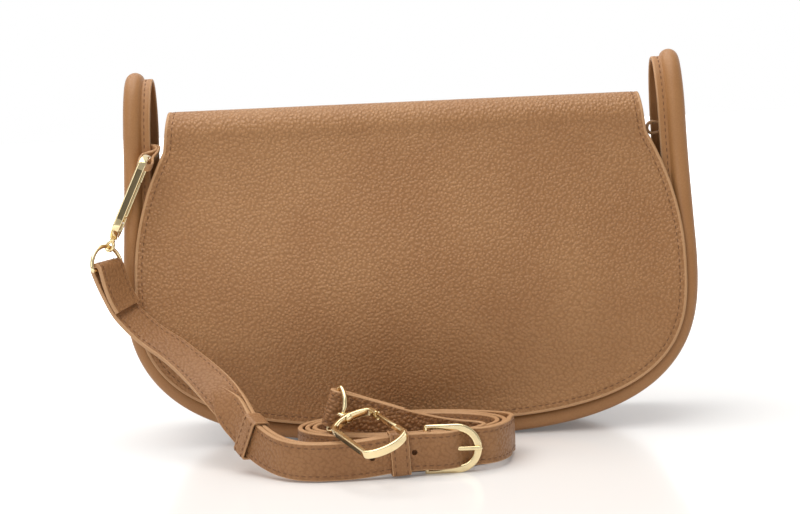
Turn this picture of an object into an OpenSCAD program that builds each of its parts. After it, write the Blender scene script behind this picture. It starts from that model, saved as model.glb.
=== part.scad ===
// Saddle handbag: rolled rims that close over into two ears, a folding flap,
// and a strap that hangs from one ear by its hook and lies coiled in front.
// Millimetres. +X to the bag's right in the view of its front, the front faces -Y,
// +Z up, the table at z = 0.

/* [Body] */
// Width over the rolled rims
body_w = 284; // [240:1:330]
// Depth over the rolled rims at the base
base_d = 71.5; // [60:0.5:84]
// Height where the outline is widest
belly_h = 88; // [76:1:100]
// Height of the ear tops
ear_h = 186; // [176:1:200]
// Height where the ears' arcs start
ear_spring_h = 150; // [144:1:156]
// Height below which the bag keeps its full depth
shoulder_h = 45; // [30:1:60]
// Half the depth between the rims' centre lines at the ears
ear_half_d = 14.5; // [12:0.5:18]
// Diameter of the rolled rims
roll_d = 9.5; // [8:0.1:11]
// Depth of the flat that the table presses under the rolls
roll_flat = 0.5; // [0:0.1:1]
// Width of the binding strip beside each roll
binding_w = 4.2; // [3.6:0.1:6]
// Thickness of the binding strips
binding_t = 1.6; // [1:0.1:2]
// Thickness of the body leather
leather_t = 1.8; // [1.2:0.1:2]
// Thickness of the linings
lining_t = 0.6; // [0.4:0.1:0.8]
// Space between sewn layers
layer_gap = 0.2; // [0.15:0.05:0.3]
// How far the front bulges
crown = 7; // [0:0.5:9]
// Height of the front panel's top edge
front_top_h = 142; // [138:1:146]
// Half the width of the mouth between the ears
mouth_half_w = 114; // [104:1:116]
// Height of the back panel's top edge
back_top_h = 159.3; // [158:0.1:160]
// Thickness of the base board
board_t = 1.5; // [1:0.1:2]

/* [Flap] */
// Thickness of the flap leather
flap_t = 1.75; // [1.2:0.05:2]
// Width of the flap at its widest
flap_w = 271.4; // [240:0.2:276]
// Height of the flap's lowest point
flap_low_h = 8; // [6:0.5:20]
// Width of the flap at its top edge
flap_top_w = 229; // [200:1:232]
// Space between the front panel and the flap
flap_lift = 4.7; // [3:0.1:6]
// Inner radius of the fold over the mouth
flap_fold_r = 10; // [8:0.5:12]
// Downward slope of the flap's top towards the hinge line
flap_drop_angle = 9.9; // [0:0.1:16]
// Width of the soft stitched edge that bends past the hooks
flap_edge_w = 7; // [5:0.5:9]
// Distance of the hinge line behind the middle of the bag
flap_hinge_y = 11; // [10:0.5:13]
// Radius of the flap's side arcs
flap_side_r = 128; // [110:1:150]
// Height where the side arcs meet the straight upper edges
flap_corner_h = 146; // [142:0.5:148]
// How far above the start of the ears' arcs the flap folds over
flap_rise = 3; // [1:0.5:5]
// Height of the yoke strip that the flap is sewn to
yoke_h = 30; // [20:1:40]

/* [Snap] */
// Height of the snap
snap_h = 45; // [35:1:60]
// Diameter of the snap's discs
snap_d = 17; // [12:0.5:20]
// Diameter of the snap's boss
snap_boss_d = 6; // [4:0.5:8]
// Height of the snap's boss
snap_boss_h = 0.8; // [0.5:0.1:1]

/* [Pocket] */
// Length of the zip
zip_len = 150; // [100:1:170]
// Height of the zip
zip_h = 118; // [105:1:125]
// Depth of the pocket below the zip
pocket_h = 58; // [40:1:70]

/* [Strap] */
// Width of the strap
strap_w = 17; // [15:0.5:19]
// Thickness of the strap
strap_t = 2.6; // [2:0.1:3]
// Thickness of the strap's skived end round the buckle bar
skive_t = 1.25; // [1:0.05:1.4]
// Length of each folded end
fold_len = 22; // [16:1:30]
// Turns in the coil
coil_turns = 2.83; // [1.8:0.01:3]
// Distance from turn to turn
coil_pitch = 3.4; // [3.2:0.1:4.4]
// Half the length of the coil's outermost turn
coil_half_w = 50.5; // [44:0.5:56]
// Half the depth of the coil's outermost turn
coil_half_d = 31.8; // [28:0.2:36]
// Diameter of the punched holes
hole_d = 2.6; // [2:0.1:3]
// Distance between the punched holes
hole_pitch = 22; // [18:0.5:30]
// Width of the keepers along the strap
keeper_w = 8.5; // [7:0.5:10]
// Thickness of the keepers
keeper_t = 1.2; // [1:0.1:1.4]
// Play of the straps in the keepers
keeper_play = 0.35; // [0.3:0.05:0.6]

/* [Metal] */
// Diameter of the ring and buckle bars
wire_d = 2; // [1.8:0.1:2.4]
// Radius of the D-rings on their wire's centre line
dring_r = 10.5; // [10:0.1:12]
// Length of the hooks' oval
hook_len = 45; // [40:0.5:50]
// Width of the hooks' oval
hook_w = 22; // [20:0.5:26]
// Radius of the ovals' round ends
hook_end_r = 14; // [12:0.5:16]
// Thickness of the hooks' band
band_t = 2.2; // [2:0.1:2.6]
// Height of the hooks' band
band_h = 3.8; // [3.4:0.1:4.4]
// Length of the hooks' gates
gate_len = 19; // [15:0.5:22]
// Turning and sliding clearance
play = 0.2; // [0.15:0.05:0.3]
// Length of the buckle over its bar and bow
buckle_len = 26; // [22:0.5:30]
// Diameter of the buckle's wire
buckle_wire_d = 2.2; // [1.8:0.1:2.4]

/* [Hidden] */
// One node's name, or all
// Sides of a round skin
skin_sides = 10;
// Facets of round solids
$fn = 40;
// Overrun of cuts
over = 1;

// Stations along half the outline: the round lower part, the straight side, the ear
n_low = 14;
n_side = 6;
n_ear = 9;
n_all = n_low + n_side + n_ear;
// The outline's exponent and the sides' inward lean
outline_power = 3;
lean_share = 0.03;

roll_r = roll_d / 2;
base_half = base_d / 2 - roll_r;
ear_rise = ear_spring_h - belly_h;
ear_arc_h = ear_h - roll_r - ear_spring_h;

leather_color = [0.62, 0.43, 0.28];
edge_color = [0.72, 0.53, 0.37];
lining_color = [0.78, 0.7, 0.6];
metal_color = [0.86, 0.74, 0.5];

// Small maths
function unit(v) = v / norm(v);
function mix(a, b, k) = a + (b - a) * k;
function bound(x, low, high) = min(max(x, low), high);
// Eased step from 0 to 1
function smooth(x) = let (s = bound(x, 0, 1)) s * s * (3 - 2 * s);
// Removes from v its share along the unit vector t
function square_to(v, t) = unit(v - t * (v * t));
// A point on the smooth curve through a list of points, u from 0 to len - 1
function curve_at(p, u) =
    let (
        i = bound(floor(u), 0, len(p) - 2),
        f = u - i,
        a = p[max(i - 1, 0)],
        b = p[i],
        c = p[i + 1],
        d = p[min(i + 2, len(p) - 1)]
    )
    b + f * ((c - a) + f * ((2 * a - 5 * b + 4 * c - d) + f * (3 * b - a - 3 * c + d))) / 2;

// Closed solids from points

// Solid between two grids of points with the same rows and columns
module slab(outer, inner) {
    rows = len(outer);
    cols = len(outer[0]);
    n = rows * cols;
    points = concat([for (r = outer) each r], [for (r = inner) each r]);
    top = [for (r = [0:rows - 2], c = [0:cols - 2])
        let (i = r * cols + c)
        each [[i, i + cols + 1, i + 1], [i, i + cols, i + cols + 1]]];
    bottom = [for (f = top) [f[2] + n, f[1] + n, f[0] + n]];
    border = concat(
        [for (c = [0:cols - 2]) [c, c + 1]],
        [for (r = [0:rows - 2]) [r * cols + cols - 1, (r + 1) * cols + cols - 1]],
        [for (c = [cols - 1:-1:1]) [(rows - 1) * cols + c, (rows - 1) * cols + c - 1]],
        [for (r = [rows - 1:-1:1]) [r * cols, (r - 1) * cols]]);
    wall = [for (e = border) each [[e[0], e[1], e[0] + n], [e[1], e[1] + n, e[0] + n]]];
    polyhedron(points, concat(top, bottom, wall));
}

// Solid skinned over rings of points, each ring the same length
module skin(rings) {
    m = len(rings[0]);
    last = (len(rings) - 1) * m;
    points = [for (r = rings) each r];
    sides = [for (i = [0:len(rings) - 2], j = [0:m - 1])
        let (a = i * m + j, b = i * m + (j + 1) % m)
        each [[a, b + m, b], [a, a + m, b + m]]];
    caps = [for (j = [1:m - 2])
        each [[0, j, j + 1], [last, last + j + 1, last + j]]];
    polyhedron(points, concat(sides, caps));
}

// Flat strip along a path, with a width direction, a width and a thickness at each point
function ribbon_rings(path, widths, w, t) = [
    for (i = [0:len(path) - 1])
        let (
            along = unit(path[min(i + 1, len(path) - 1)] - path[max(i - 1, 0)]),
            across = square_to(widths[i], along),
            out = cross(along, across),
            a = across * (is_num(w) ? w : w[i]) / 2,
            b = out * (is_num(t) ? t : t[i]) / 2
        )
        [path[i] - a - b, path[i] + a - b, path[i] + a + b, path[i] - a + b]
];
module ribbon(path, widths, w, t) skin(ribbon_rings(path, widths, w, t));

// Children moved to a point, their x and y axes along two given directions
module place(at, x, y) {
    a = unit(x);
    b = square_to(y, a);
    c = cross(a, b);
    multmatrix([
        [a[0], b[0], c[0], at[0]],
        [a[1], b[1], c[1], at[1]],
        [a[2], b[2], c[2], at[2]],
        [0, 0, 0, 1]
    ]) children();
}

module both_sides() {
    children();
    mirror([1, 0, 0]) children();
}

// The bag's surface

// Half the depth between the rims' centre lines at a height
function half_depth(z) =
    z > ear_spring_h
        ? ear_half_d * sqrt(max(0, 1 - pow((z - ear_spring_h) / ear_arc_h, 2)))
        : mix(base_half, ear_half_d, smooth((z - shoulder_h) / (ear_spring_h - shoulder_h)));

// Half the width at a height, so far inside the outline
function half_width(z, inset) =
    z < belly_h
        ? (body_w / 2 - inset) * pow(max(0, 1 - pow(min(1, (belly_h - z)
            / (belly_h + roll_flat - inset)), outline_power)), 1 / outline_power)
        : body_w / 2 - inset - lean_share * (z - belly_h);

// Place on the front rim's centre line at station k, from -n_all to n_all
function rim_at(k) =
    let (m = abs(k), s = k < 0 ? -1 : 1, a = 90 * min(m, n_low) / n_low,
        th = 90 * max(0, m - n_low - n_side) / n_ear,
        up = ear_rise * bound((m - n_low) / n_side, 0, 1) + ear_arc_h * sin(th),
        x = (body_w / 2 - roll_r) * pow(sin(a), 2 / outline_power) - lean_share * up,
        z = belly_h - (belly_h + roll_flat - roll_r) * pow(cos(a), 2 / outline_power) + up,
        half = m > n_low + n_side ? ear_half_d * cos(th) : half_depth(z))
    [s * x, -half, z];
// Outward direction there, square to the rim and to the way across the gusset
function rim_out(k) =
    let (m = abs(k), s = k < 0 ? -1 : 1, a = 90 * min(m, n_low) / n_low)
    m < n_low
        ? unit([s * pow(sin(a), 4 / outline_power) / (body_w / 2), 0,
            -pow(cos(a), 4 / outline_power) / belly_h])
        : unit([s, 0, m == n_low ? 0 : lean_share]);
function rim_along(k) =
    let (step = 0.1)
    abs(k) == n_all
        ? [0, k < 0 ? -1 : 1, 0]
        : unit(rim_at(k + step) - rim_at(k - step));
// Direction across the gusset, towards the middle of the bag
function rim_across(k) = cross(rim_along(k), rim_out(k));
// Place so far inside the outline and so far from the rim's centre line towards the middle
function rim_place(k, inset, across) =
    rim_at(k) + rim_out(k) * (roll_r - inset) + rim_across(k) * across;
function to_back(p) = [p[0], -p[1], p[2]];
function above_table(p) = [p[0], p[1], max(p[2], 0)];

// Bulge of the front shared by its panel, lining and flap
crown_inset = roll_d + binding_w;
function bulge(x, z) =
    let (
        k = bound((z - crown_inset) / (ear_spring_h - crown_inset), 0, 1),
        s = bound(abs(x) / max(binding_w, half_width(z, crown_inset)), 0, 1)
    )
    crown * 4 * k * (1 - k) * pow(1 - s * s, 1.5);

// Rows of heights up a panel from the rounded base
function panel_heights(inset, top) = concat(
    [for (j = [1:n_low])
        belly_h - (belly_h + roll_flat - inset) * pow(cos(90 * j / n_low), 2 / outline_power)],
    [for (j = [1:n_side]) mix(belly_h, top, j / n_side)]);
// A panel's half width: the outline below, drawn in to the mouth above
narrow_from_share = 0.55;
narrow_to_share = 0.86;
function panel_half(z, inset) =
    mix(half_width(z, inset), min(mouth_half_w, half_width(z, inset)),
        smooth((z - mix(belly_h, ear_spring_h, narrow_from_share))
            / ((ear_spring_h - belly_h) * (narrow_to_share - narrow_from_share))));

panel_gap = 0.35;
// Clearance of the panels to the rolls
panel_clear = 0.25;
panel_inset = roll_d + panel_clear;
// Columns across the front panel and flap
n_cols = 10;
function shares(n) = [for (i = [0:n]) 2 * i / n - 1];

// Front wall at a height, so far behind the rims' plane
function front_y(x, z, behind) = -half_depth(z) + behind - bulge(x, z);
// The back wall leans forward at the top, under the flap's hinge line
lean_run_h = 12;
hinge_room = 2.5;
lean_from_h = ear_spring_h - lean_run_h;
back_top_y = flap_hinge_y - hinge_room;
function back_y(z, behind) =
    mix(half_depth(min(z, ear_spring_h)) - behind, back_top_y - behind,
        smooth((z - lean_from_h) / (back_top_h - lean_from_h)));

// Places across a panel, one at each edge of the crowned middle
function panel_columns(z, inset) =
    let (
        half = panel_half(z, inset),
        middle = min(max(half_width(z, crown_inset), half / 2), half - panel_gap)
    )
    concat([-half], [for (s = shares(n_cols)) s * middle], [half]);

module front_wall(inset, top, near, far) {
    rows = panel_heights(inset, top);
    slab(
        [for (z = rows) [for (x = panel_columns(z, inset)) [x, front_y(x, z, near), z]]],
        [for (z = rows) [for (x = panel_columns(z, inset)) [x, front_y(x, z, far), z]]]);
}

// Rows of heights up the strip that carries the flap
function yoke_rows(top) = [for (j = [0:n_side]) mix(top - yoke_h, top, j / n_side)];

module back_wall(inset, top, near, far) {
    rows = concat(panel_heights(inset, top - yoke_h - layer_gap), yoke_rows(top));
    slab(
        [for (z = rows) [for (s = [1, 0, -1])
            [s * panel_half(z, inset), back_y(z, near), z]]],
        [for (z = rows) [for (s = [1, 0, -1])
            [s * panel_half(z, inset), back_y(z, far), z]]]);
}

module front_panel() {
    color(leather_color)
        front_wall(panel_inset, front_top_h, panel_gap, panel_gap + leather_t);
}

module back_panel() {
    color(leather_color)
        back_wall(panel_inset, back_top_h, panel_gap, panel_gap + leather_t);
}

lining_gap = panel_gap + leather_t + layer_gap;

module lining_front() {
    color(lining_color)
        front_wall(panel_inset + layer_gap, front_top_h - layer_gap, lining_gap, lining_gap + lining_t);
}

module lining_back() {
    color(lining_color)
        back_wall(panel_inset + layer_gap, back_top_h - layer_gap, lining_gap, lining_gap + lining_t);
}

// A band across the gusset between two insets, between the front and back rims
module gusset_band(last, outer_inset, inner_inset, edge) {
    stations = [for (k = [-last:last]) k];
    slab(
        [for (k = stations)
            let (p = rim_place(k, outer_inset, edge)) [p, to_back(p)]],
        [for (k = stations)
            let (p = rim_place(k, inner_inset, edge)) [p, to_back(p)]]);
}

gusset_inset = roll_d * 0.28;
gusset_last = n_all - 2;
gusset_edge = roll_r + layer_gap;

module gusset() {
    color(leather_color)
        gusset_band(gusset_last, gusset_inset, gusset_inset + leather_t, gusset_edge);
}

module lining_gusset() {
    color(lining_color)
        gusset_band(gusset_last, gusset_inset + leather_t + layer_gap,
            gusset_inset + leather_t + layer_gap + lining_t, gusset_edge);
}

board_inset = gusset_inset + leather_t + 2 * layer_gap + lining_t;
board_last = n_low / 2;

module base_board() {
    color(lining_color)
        gusset_band(board_last, board_inset, board_inset + board_t, gusset_edge + 2 * layer_gap);
}

// Rolled rim: a round cord in leather from ear to ear, pressed flat on the table
module front_roll() {
    rings = [for (k = [-n_all:n_all]) [for (j = [0:skin_sides - 1])
        let (a = 360 * j / skin_sides)
        above_table(rim_place(k, roll_r * (1 - cos(a)), roll_r * sin(a)))]];
    color(leather_color)
        skin(rings);
}

module back_roll() {
    mirror([0, 1, 0])
        front_roll();
}

// Strip with the stitch row beside the roll
binding_gap = 0.15;
module front_binding() {
    near = roll_d + binding_gap;
    color(edge_color)
        slab(
            [for (k = [-n_all:n_all]) [rim_place(k, near + binding_w, layer_gap - binding_t),
                rim_place(k, near, layer_gap - binding_t)]],
            [for (k = [-n_all:n_all]) [rim_place(k, near + binding_w, layer_gap),
                rim_place(k, near, layer_gap)]]);
}

module back_binding() {
    mirror([0, 1, 0])
        front_binding();
}

// The flap

// How far below the bag's widest height the flap is widest
flap_belly_drop = 4;
flap_low_half = belly_h - flap_belly_drop - flap_low_h;
flap_belly_h = flap_low_h + flap_low_half;
flap_fold_h = ear_spring_h + flap_rise;
function flap_arc_half(z) =
    flap_w / 2 - flap_side_r + sqrt(pow(flap_side_r, 2) - pow(z - flap_belly_h, 2));
function flap_half(z) =
    z < flap_belly_h
        ? flap_w / 2 * pow(max(0, 1 - pow(min(1, (flap_belly_h - z) / flap_low_half),
            outline_power)), 1 / outline_power)
        : z < flap_corner_h
            ? flap_arc_half(z)
            : mix(flap_arc_half(flap_corner_h), flap_top_w / 2,
                bound((z - flap_corner_h) / (flap_fold_h + flap_fold_r - flap_corner_h), 0, 1));

flap_near = flap_lift + panel_gap;
flap_fold_y = -ear_half_d - flap_near + flap_fold_r;
flap_turn = 90 + flap_drop_angle;
n_fold = 7;
n_up = 6;

// Rows of the flap: [height for the half width and bulge, y, z, outward y, outward z]
flap_front_rows = concat(
    [for (j = [1:n_low])
        let (z = flap_belly_h - flap_low_half * pow(cos(90 * j / n_low), 2 / outline_power))
        [z, -half_depth(z) - flap_near, z, -1, 0]],
    [for (j = [1:n_up])
        let (z = mix(flap_belly_h, flap_corner_h, j / n_up))
        [z, -half_depth(z) - flap_near, z, -1, 0]]);
flap_fold_rows = [for (j = [0:n_fold])
    let (a = flap_turn * j / n_fold)
    [flap_fold_h + flap_fold_r * sin(min(a, 90)), flap_fold_y - flap_fold_r * cos(a),
        flap_fold_h + flap_fold_r * sin(a), -cos(a), sin(a)]];
// Space round the hinge line
hinge_clear = 0.3;
flap_end_y = flap_hinge_y - hinge_clear;
flap_arc_end = flap_fold_rows[n_fold];
flap_top_run = (flap_end_y - flap_arc_end[1]) / cos(flap_drop_angle);
flap_end_z = flap_arc_end[2] - flap_top_run * sin(flap_drop_angle);
flap_rows = concat(flap_front_rows, flap_fold_rows,
    [[flap_arc_end[0], flap_end_y, flap_end_z, flap_arc_end[3], flap_arc_end[4]]]);
flap_in = lining_t + layer_gap;
flap_hinge_z = flap_end_z + (flap_in + flap_t) * flap_arc_end[4] + hinge_clear;

// Point of the flap's surface at a row and a share of its half width, so far out
function flap_at(row, share, out) =
    let (x = share * flap_half(row[0]))
    [x, row[1] + row[3] * out - bulge(x, row[2]), row[2] + row[4] * out];
// Share of the half width where the soft edge starts
core_least_share = 0.5;
function flap_core_share(row) =
    let (half = flap_half(row[0])) max(core_least_share, (half - flap_edge_w) / half);
function flap_grid(rows, cols, out) = [for (r = rows) [for (c = cols)
    flap_at(r, c * flap_core_share(r), out)]];
function edge_grid(rows, side, out) = [for (r = rows) [for (s = side > 0 ? [0, 1] : [1, 0])
    flap_at(r, side * mix(flap_core_share(r), 1, s), out)]];

module flap_outer() {
    color(leather_color)
        slab(flap_grid(flap_rows, shares(n_cols), flap_in + flap_t),
            flap_grid(flap_rows, shares(n_cols), flap_in));
}

// The stitched edge on both sides of the flap, soft enough to bend past the hook
module flap_edges() {
    color(edge_color)
        for (side = [-1, 1])
            slab(edge_grid(flap_rows, side, flap_in + flap_t), edge_grid(flap_rows, side, flap_in));
}

module flap_lining() {
    color(lining_color)
        slab(flap_grid(flap_rows, shares(n_cols), lining_t),
            flap_grid(flap_rows, shares(n_cols), 0));
}

// Strip behind the back panel that carries the flap
module flap_yoke() {
    rows = yoke_rows(back_top_h);
    half = mouth_half_w - roll_d / 2;
    near = panel_gap - layer_gap - leather_t;
    far = panel_gap - layer_gap;
    color(leather_color)
        slab(
            [for (z = rows) [for (s = [1, -1]) [s * half, back_y(z, near), z]]],
            [for (z = rows) [for (s = [1, -1]) [s * half, back_y(z, far), z]]]);
}

// The snap

snap_near_y = front_y(0, snap_h, panel_gap);
snap_clear = 0.3;
snap_tilt = atan((front_y(0, snap_h + over, 0) - front_y(0, snap_h - over, 0)) / (2 * over));
snap_space = flap_near - panel_gap - 2 * snap_clear;
snap_socket_t = snap_space * 0.5;
snap_stud_t = snap_space - snap_socket_t - snap_clear;

// Disc across the space between panel and flap, its axis square to the panel
module snap_frame() {
    translate([0, snap_near_y - snap_clear, snap_h])
        rotate([90 - snap_tilt, 0, 0])
            children();
}

module snap_socket() {
    color(metal_color)
        snap_frame()
            difference() {
                cylinder(h = snap_socket_t, d = snap_d);
                translate([0, 0, snap_socket_t - snap_boss_h - snap_clear])
                    cylinder(h = snap_boss_h + over, d = snap_boss_d + 2 * snap_boss_h);
            }
}

module snap_stud() {
    color(metal_color)
        snap_frame()
            translate([0, 0, snap_socket_t + snap_clear]) {
                cylinder(h = snap_stud_t, d = snap_d);
                translate([0, 0, -snap_boss_h])
                    cylinder(h = snap_boss_h + snap_stud_t / 2, d = snap_boss_d);
            }
}

// The zip pocket on the back lining

zip_tape_w = 8;
zip_tape_t = 0.6;
zip_stand = 2.4;
tooth_w = 1.5;
tooth_t = 1.6;
tooth_pitch = 3;
slider_len = 9;
slider_w = 7;
slider_plate_t = 0.7;
bow_len = 6;
bow_w = 2.4;
bow_t = 0.8;
bow_h = 1.5;
puller_len = 24;
puller_w = 5;
puller_t = 1.1;
sheet_t = 0.5;
zip_middle = zip_stand + zip_tape_t / 2;
zip_wall_y = back_y(zip_h, lining_gap + lining_t);
zip_tilt = atan((back_y(zip_h + zip_tape_w, 0) - back_y(zip_h - zip_tape_w, 0))
    / (2 * zip_tape_w));

// x along the zip, y up the wall, z towards the inside of the bag
module zip_frame() {
    place([0, zip_wall_y, zip_h], [1, 0, 0], [0, sin(zip_tilt), cos(zip_tilt)])
        children();
}

// Sheet of the pocket that follows the back wall between two heights
module pocket_sheet(half, low, high, near, far) {
    back_wall_rows = [for (j = [0:n_side]) mix(low, high, j / n_side)];
    wall = lining_gap + lining_t;
    slab(
        [for (z = back_wall_rows) [for (s = [1, -1]) [s * half, back_y(z, wall + near), z]]],
        [for (z = back_wall_rows) [for (s = [1, -1]) [s * half, back_y(z, wall + far), z]]]);
}

module pocket_bag() {
    half = zip_len / 2 + zip_tape_w;
    low = zip_h - pocket_h;
    high = zip_h - slider_w / 2 - 2 * layer_gap;
    color(lining_color)
        difference() {
            pocket_sheet(half, low, high, layer_gap, layer_gap + 4 * sheet_t);
            pocket_sheet(half - sheet_t, low + sheet_t, high + over, layer_gap + sheet_t,
                layer_gap + 3 * sheet_t);
        }
}

// Tapes on both sides of the teeth; the upper one's edge stands on the wall
module zip_tapes() {
    foot_w = 0.3 * zip_tape_w;
    color(lining_color)
        zip_frame() {
            for (s = [-1, 1])
                translate([0, s * (tooth_w + zip_tape_w) / 2, zip_middle])
                    cube([zip_len, zip_tape_w, zip_tape_t], center = true);
            translate([-zip_len / 2, tooth_w / 2 + zip_tape_w - foot_w, layer_gap])
                cube([zip_len, foot_w, zip_stand]);
        }
}

slider_x = slider_len - zip_len / 2;
slider_back = zip_middle - tooth_t / 2 - play - slider_plate_t;
slider_front = zip_middle + tooth_t / 2 + play;

module zip_teeth() {
    count = floor((zip_len - slider_len) / tooth_pitch);
    color(metal_color)
        zip_frame() {
            translate([slider_x - slider_len / 6, -tooth_w / 2, zip_middle - zip_tape_t * 0.3])
                cube([(count - 1) * tooth_pitch, tooth_w, zip_tape_t * 0.6]);
            for (i = [0:count - 1])
                translate([slider_x - slider_len / 6 + i * tooth_pitch, -tooth_w / 2,
                        zip_middle - tooth_t / 2])
                    cube([tooth_pitch * 0.6, tooth_w, tooth_t]);
        }
}

// Two plates, the wedge between them past the end of the teeth, and the bow in front
module zip_slider() {
    color(metal_color)
        zip_frame()
            translate([slider_x, 0, 0]) {
                for (z = [slider_back, slider_front])
                    translate([-slider_len / 2, -slider_w / 2, z])
                        cube([slider_len, slider_w, slider_plate_t]);
                translate([-slider_len / 2, -tooth_w / 3, slider_back])
                    cube([slider_len / 6, tooth_w * 2 / 3, slider_front + slider_plate_t - slider_back]);
                translate([0, 0, slider_front + slider_plate_t / 2])
                    rotate([90, 0, 0])
                        linear_extrude(bow_w, center = true)
                            difference() {
                                translate([-bow_len / 2, 0])
                                    square([bow_len, slider_plate_t / 2 + bow_h + bow_t]);
                                translate([bow_t - bow_len / 2, -over])
                                    square([bow_len - 2 * bow_t, over + slider_plate_t / 2 + bow_h]);
                            }
            }
}

puller_pin_x = slider_x + bow_len / 5;
puller_pin_z = slider_front + slider_plate_t + play + puller_t / 2;

// Lies along the zip; its cross bar passes through the slider's bow
module zip_puller() {
    color(metal_color)
        zip_frame()
            translate([puller_pin_x, 0, puller_pin_z])
                difference() {
                    union() {
                        rotate([90, 0, 0])
                            cylinder(h = puller_w, d = puller_t, center = true);
                        translate([0, -puller_w / 2, -puller_t / 2])
                            cube([puller_len, puller_w, puller_t]);
                    }
                    translate([puller_t / 2, -bow_w / 2 - 2 * play, -puller_t])
                        cube([bow_len * 0.4, bow_w + 4 * play, 2 * puller_t]);
                }
}

// The strap

pair_step = (strap_t + layer_gap) / 2;

// Places near the bag as shares of its half width, half depth and belly height
function at_shares(s) = [s[0] * body_w / 2, s[1] * base_d / 2, s[2] * belly_h];

// Middle line of the two strap layers from the left ring to the buckle
run_shares = [
    [-1.033, -1.234, 1.048], [-1.008, -1.27, 0.931], [-0.974, -1.287, 0.82],
    [-0.923, -1.34, 0.73], [-0.88, -1.399, 0.672], [-0.818, -1.51, 0.608],
    [-0.763, -1.65, 0.543], [-0.706, -1.846, 0.47], [-0.652, -2.084, 0.392],
    [-0.604, -2.34, 0.312], [-0.565, -2.57, 0.243], [-0.53, -2.78, 0.19],
    [-0.487, -2.99, 0.15], [-0.437, -3.189, 0.122], [-0.38, -3.337, 0.107],
    [-0.32, -3.401, 0.102], [-0.246, -3.407, 0.102], [-0.173, -3.395, 0.108],
    [-0.092, -3.35, 0.12], [-0.028, -3.31, 0.1245], [0.03, -3.275, 0.1245]
];
// Direction of the strap's width at the same places
run_across = [
    [0.55, 0.83, -0.03], [0.55, 0.82, 0.1], [0.54, 0.81, 0.22],
    [0.52, 0.79, 0.32], [0.5, 0.78, 0.37], [0.48, 0.76, 0.42],
    [0.46, 0.74, 0.46], [0.42, 0.68, 0.58], [0.34, 0.54, 0.75],
    [0.22, 0.34, 0.9], [0.12, 0.18, 0.97], [0.07, 0.1, 0.99],
    [0.03, 0.04, 1], [0, 0, 1], [0, 0, 1],
    [0, 0, 1], [0, 0, 1], [0, 0, 1],
    [0, 0, 1], [0, 0, 1], [0, 0, 1]
];
run_last = len(run_shares) - 1;
// The hanging end keeps its distance to the rims beside its hook
hang_h_share = 1.39;
hang_half_share = 0.48491;
hang_step = half_depth(hang_h_share * belly_h) - hang_half_share * base_d / 2;
run_points = [for (i = [0:run_last])
    at_shares(run_shares[i]) - [0, hang_step * max(0, 1 - 2 * i / run_last), 0]];
function run_at(u) = curve_at(run_points, u);
function run_dir(u) =
    let (step = 0.1)
    unit(run_at(min(u + step, run_last)) - run_at(max(u - step, 0)));
function run_width(u) = square_to(curve_at(run_across, u), run_dir(u));
// Towards the front layer
function run_front(u) = cross(run_dir(u), run_width(u));

// Folded ends: the bend's radius on the middle of the leather
fold_r = wire_d / 2 + layer_gap + strap_t / 2;
n_fold_arc = 6;
n_tab = 6;
// Distance from the run's middle line to each strand beside a ring, s from the bar outwards
function fold_step(s) = mix(fold_r, pair_step, smooth(1.4 * s / fold_len));

// Left ring: the short strap folded round its bar
left_bar_at = run_at(0);
left_bar_dir = run_width(0);
// Stations of the run per length near the ring
run_pitch = norm(run_at(1) - run_at(0));
fold_end_u = fold_len / run_pitch;

// Buckle: the bar stands upright, the frame points to the bag's right
buckle_r = buckle_wire_d / 2;
wrap_clear = 0.15;
wrap_r = buckle_r + wrap_clear + skive_t / 2;
buckle_bar_at = run_at(run_last) - run_front(run_last)
    * (pair_step - strap_t / 2 - layer_gap + skive_t / 2 + wrap_r);
buckle_dir = [1, -0.01, 0];
buckle_side_clear = 0.5;
buckle_half_h = strap_w / 2 + buckle_side_clear + buckle_r;
bow_x = buckle_len - 2 * buckle_r - buckle_half_h;
wrap_end_len = 7.5;
skive_from_share = 0.9;
skive_run_share = 0.06;

// A point beside the buckle's bar: x to the bow, y to the front, z up
function by_buckle(p) =
    let (a = unit(buckle_dir), f = cross(a, [0, 0, 1]))
    buckle_bar_at + a * p[0] + f * p[1] + [0, 0, p[2]];

short_us = [for (i = [1:4 * (run_last - 1)]) i / 4];
short_tab_us = [for (i = [n_tab:-1:1]) fold_end_u * i / n_tab];
function short_thickness(u) =
    mix(strap_t, skive_t, smooth((u / run_last - skive_from_share) / skive_run_share));

module short_strap() {
    tab = [for (u = short_tab_us) run_at(u) + run_front(u) * fold_step(u * run_pitch)];
    bend = [for (j = [0:n_fold_arc])
        let (a = 180 * j / n_fold_arc)
        left_bar_at + (run_front(0) * cos(a) - run_dir(0) * sin(a)) * fold_r];
    main = [for (u = short_us)
        run_at(u) - run_front(u) * (fold_step(u * run_pitch)
            + (short_thickness(u) - strap_t) / 2)];
    wrap = [for (j = [0:n_fold_arc])
        let (a = 180 * j / n_fold_arc)
        by_buckle([wrap_r * sin(a), wrap_r * cos(a), 0])];
    back = [for (j = [1:4]) by_buckle([-wrap_end_len * j / 4,
        mix(-wrap_r, wrap_r - skive_t - layer_gap, smooth(j / 3)), 0])];
    path = concat(tab, bend, main, wrap, back);
    widths = concat([for (u = short_tab_us) run_width(u)],
        [for (p = bend) run_width(0)], [for (u = short_us) run_width(u)],
        [for (p = concat(wrap, back)) [0, 0, 1]]);
    thickness = concat([for (p = concat(tab, bend)) strap_t],
        [for (u = short_us) short_thickness(u)], [for (p = concat(wrap, back)) skive_t]);
    color(leather_color)
        difference() {
            ribbon(path, widths, strap_w, thickness);
            place(buckle_bar_at, buckle_dir, [0, 0, 1])
                cube([4 * wrap_r, prong_eye_h + 2 * play, 4 * wrap_r], center = true);
        }
}

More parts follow.
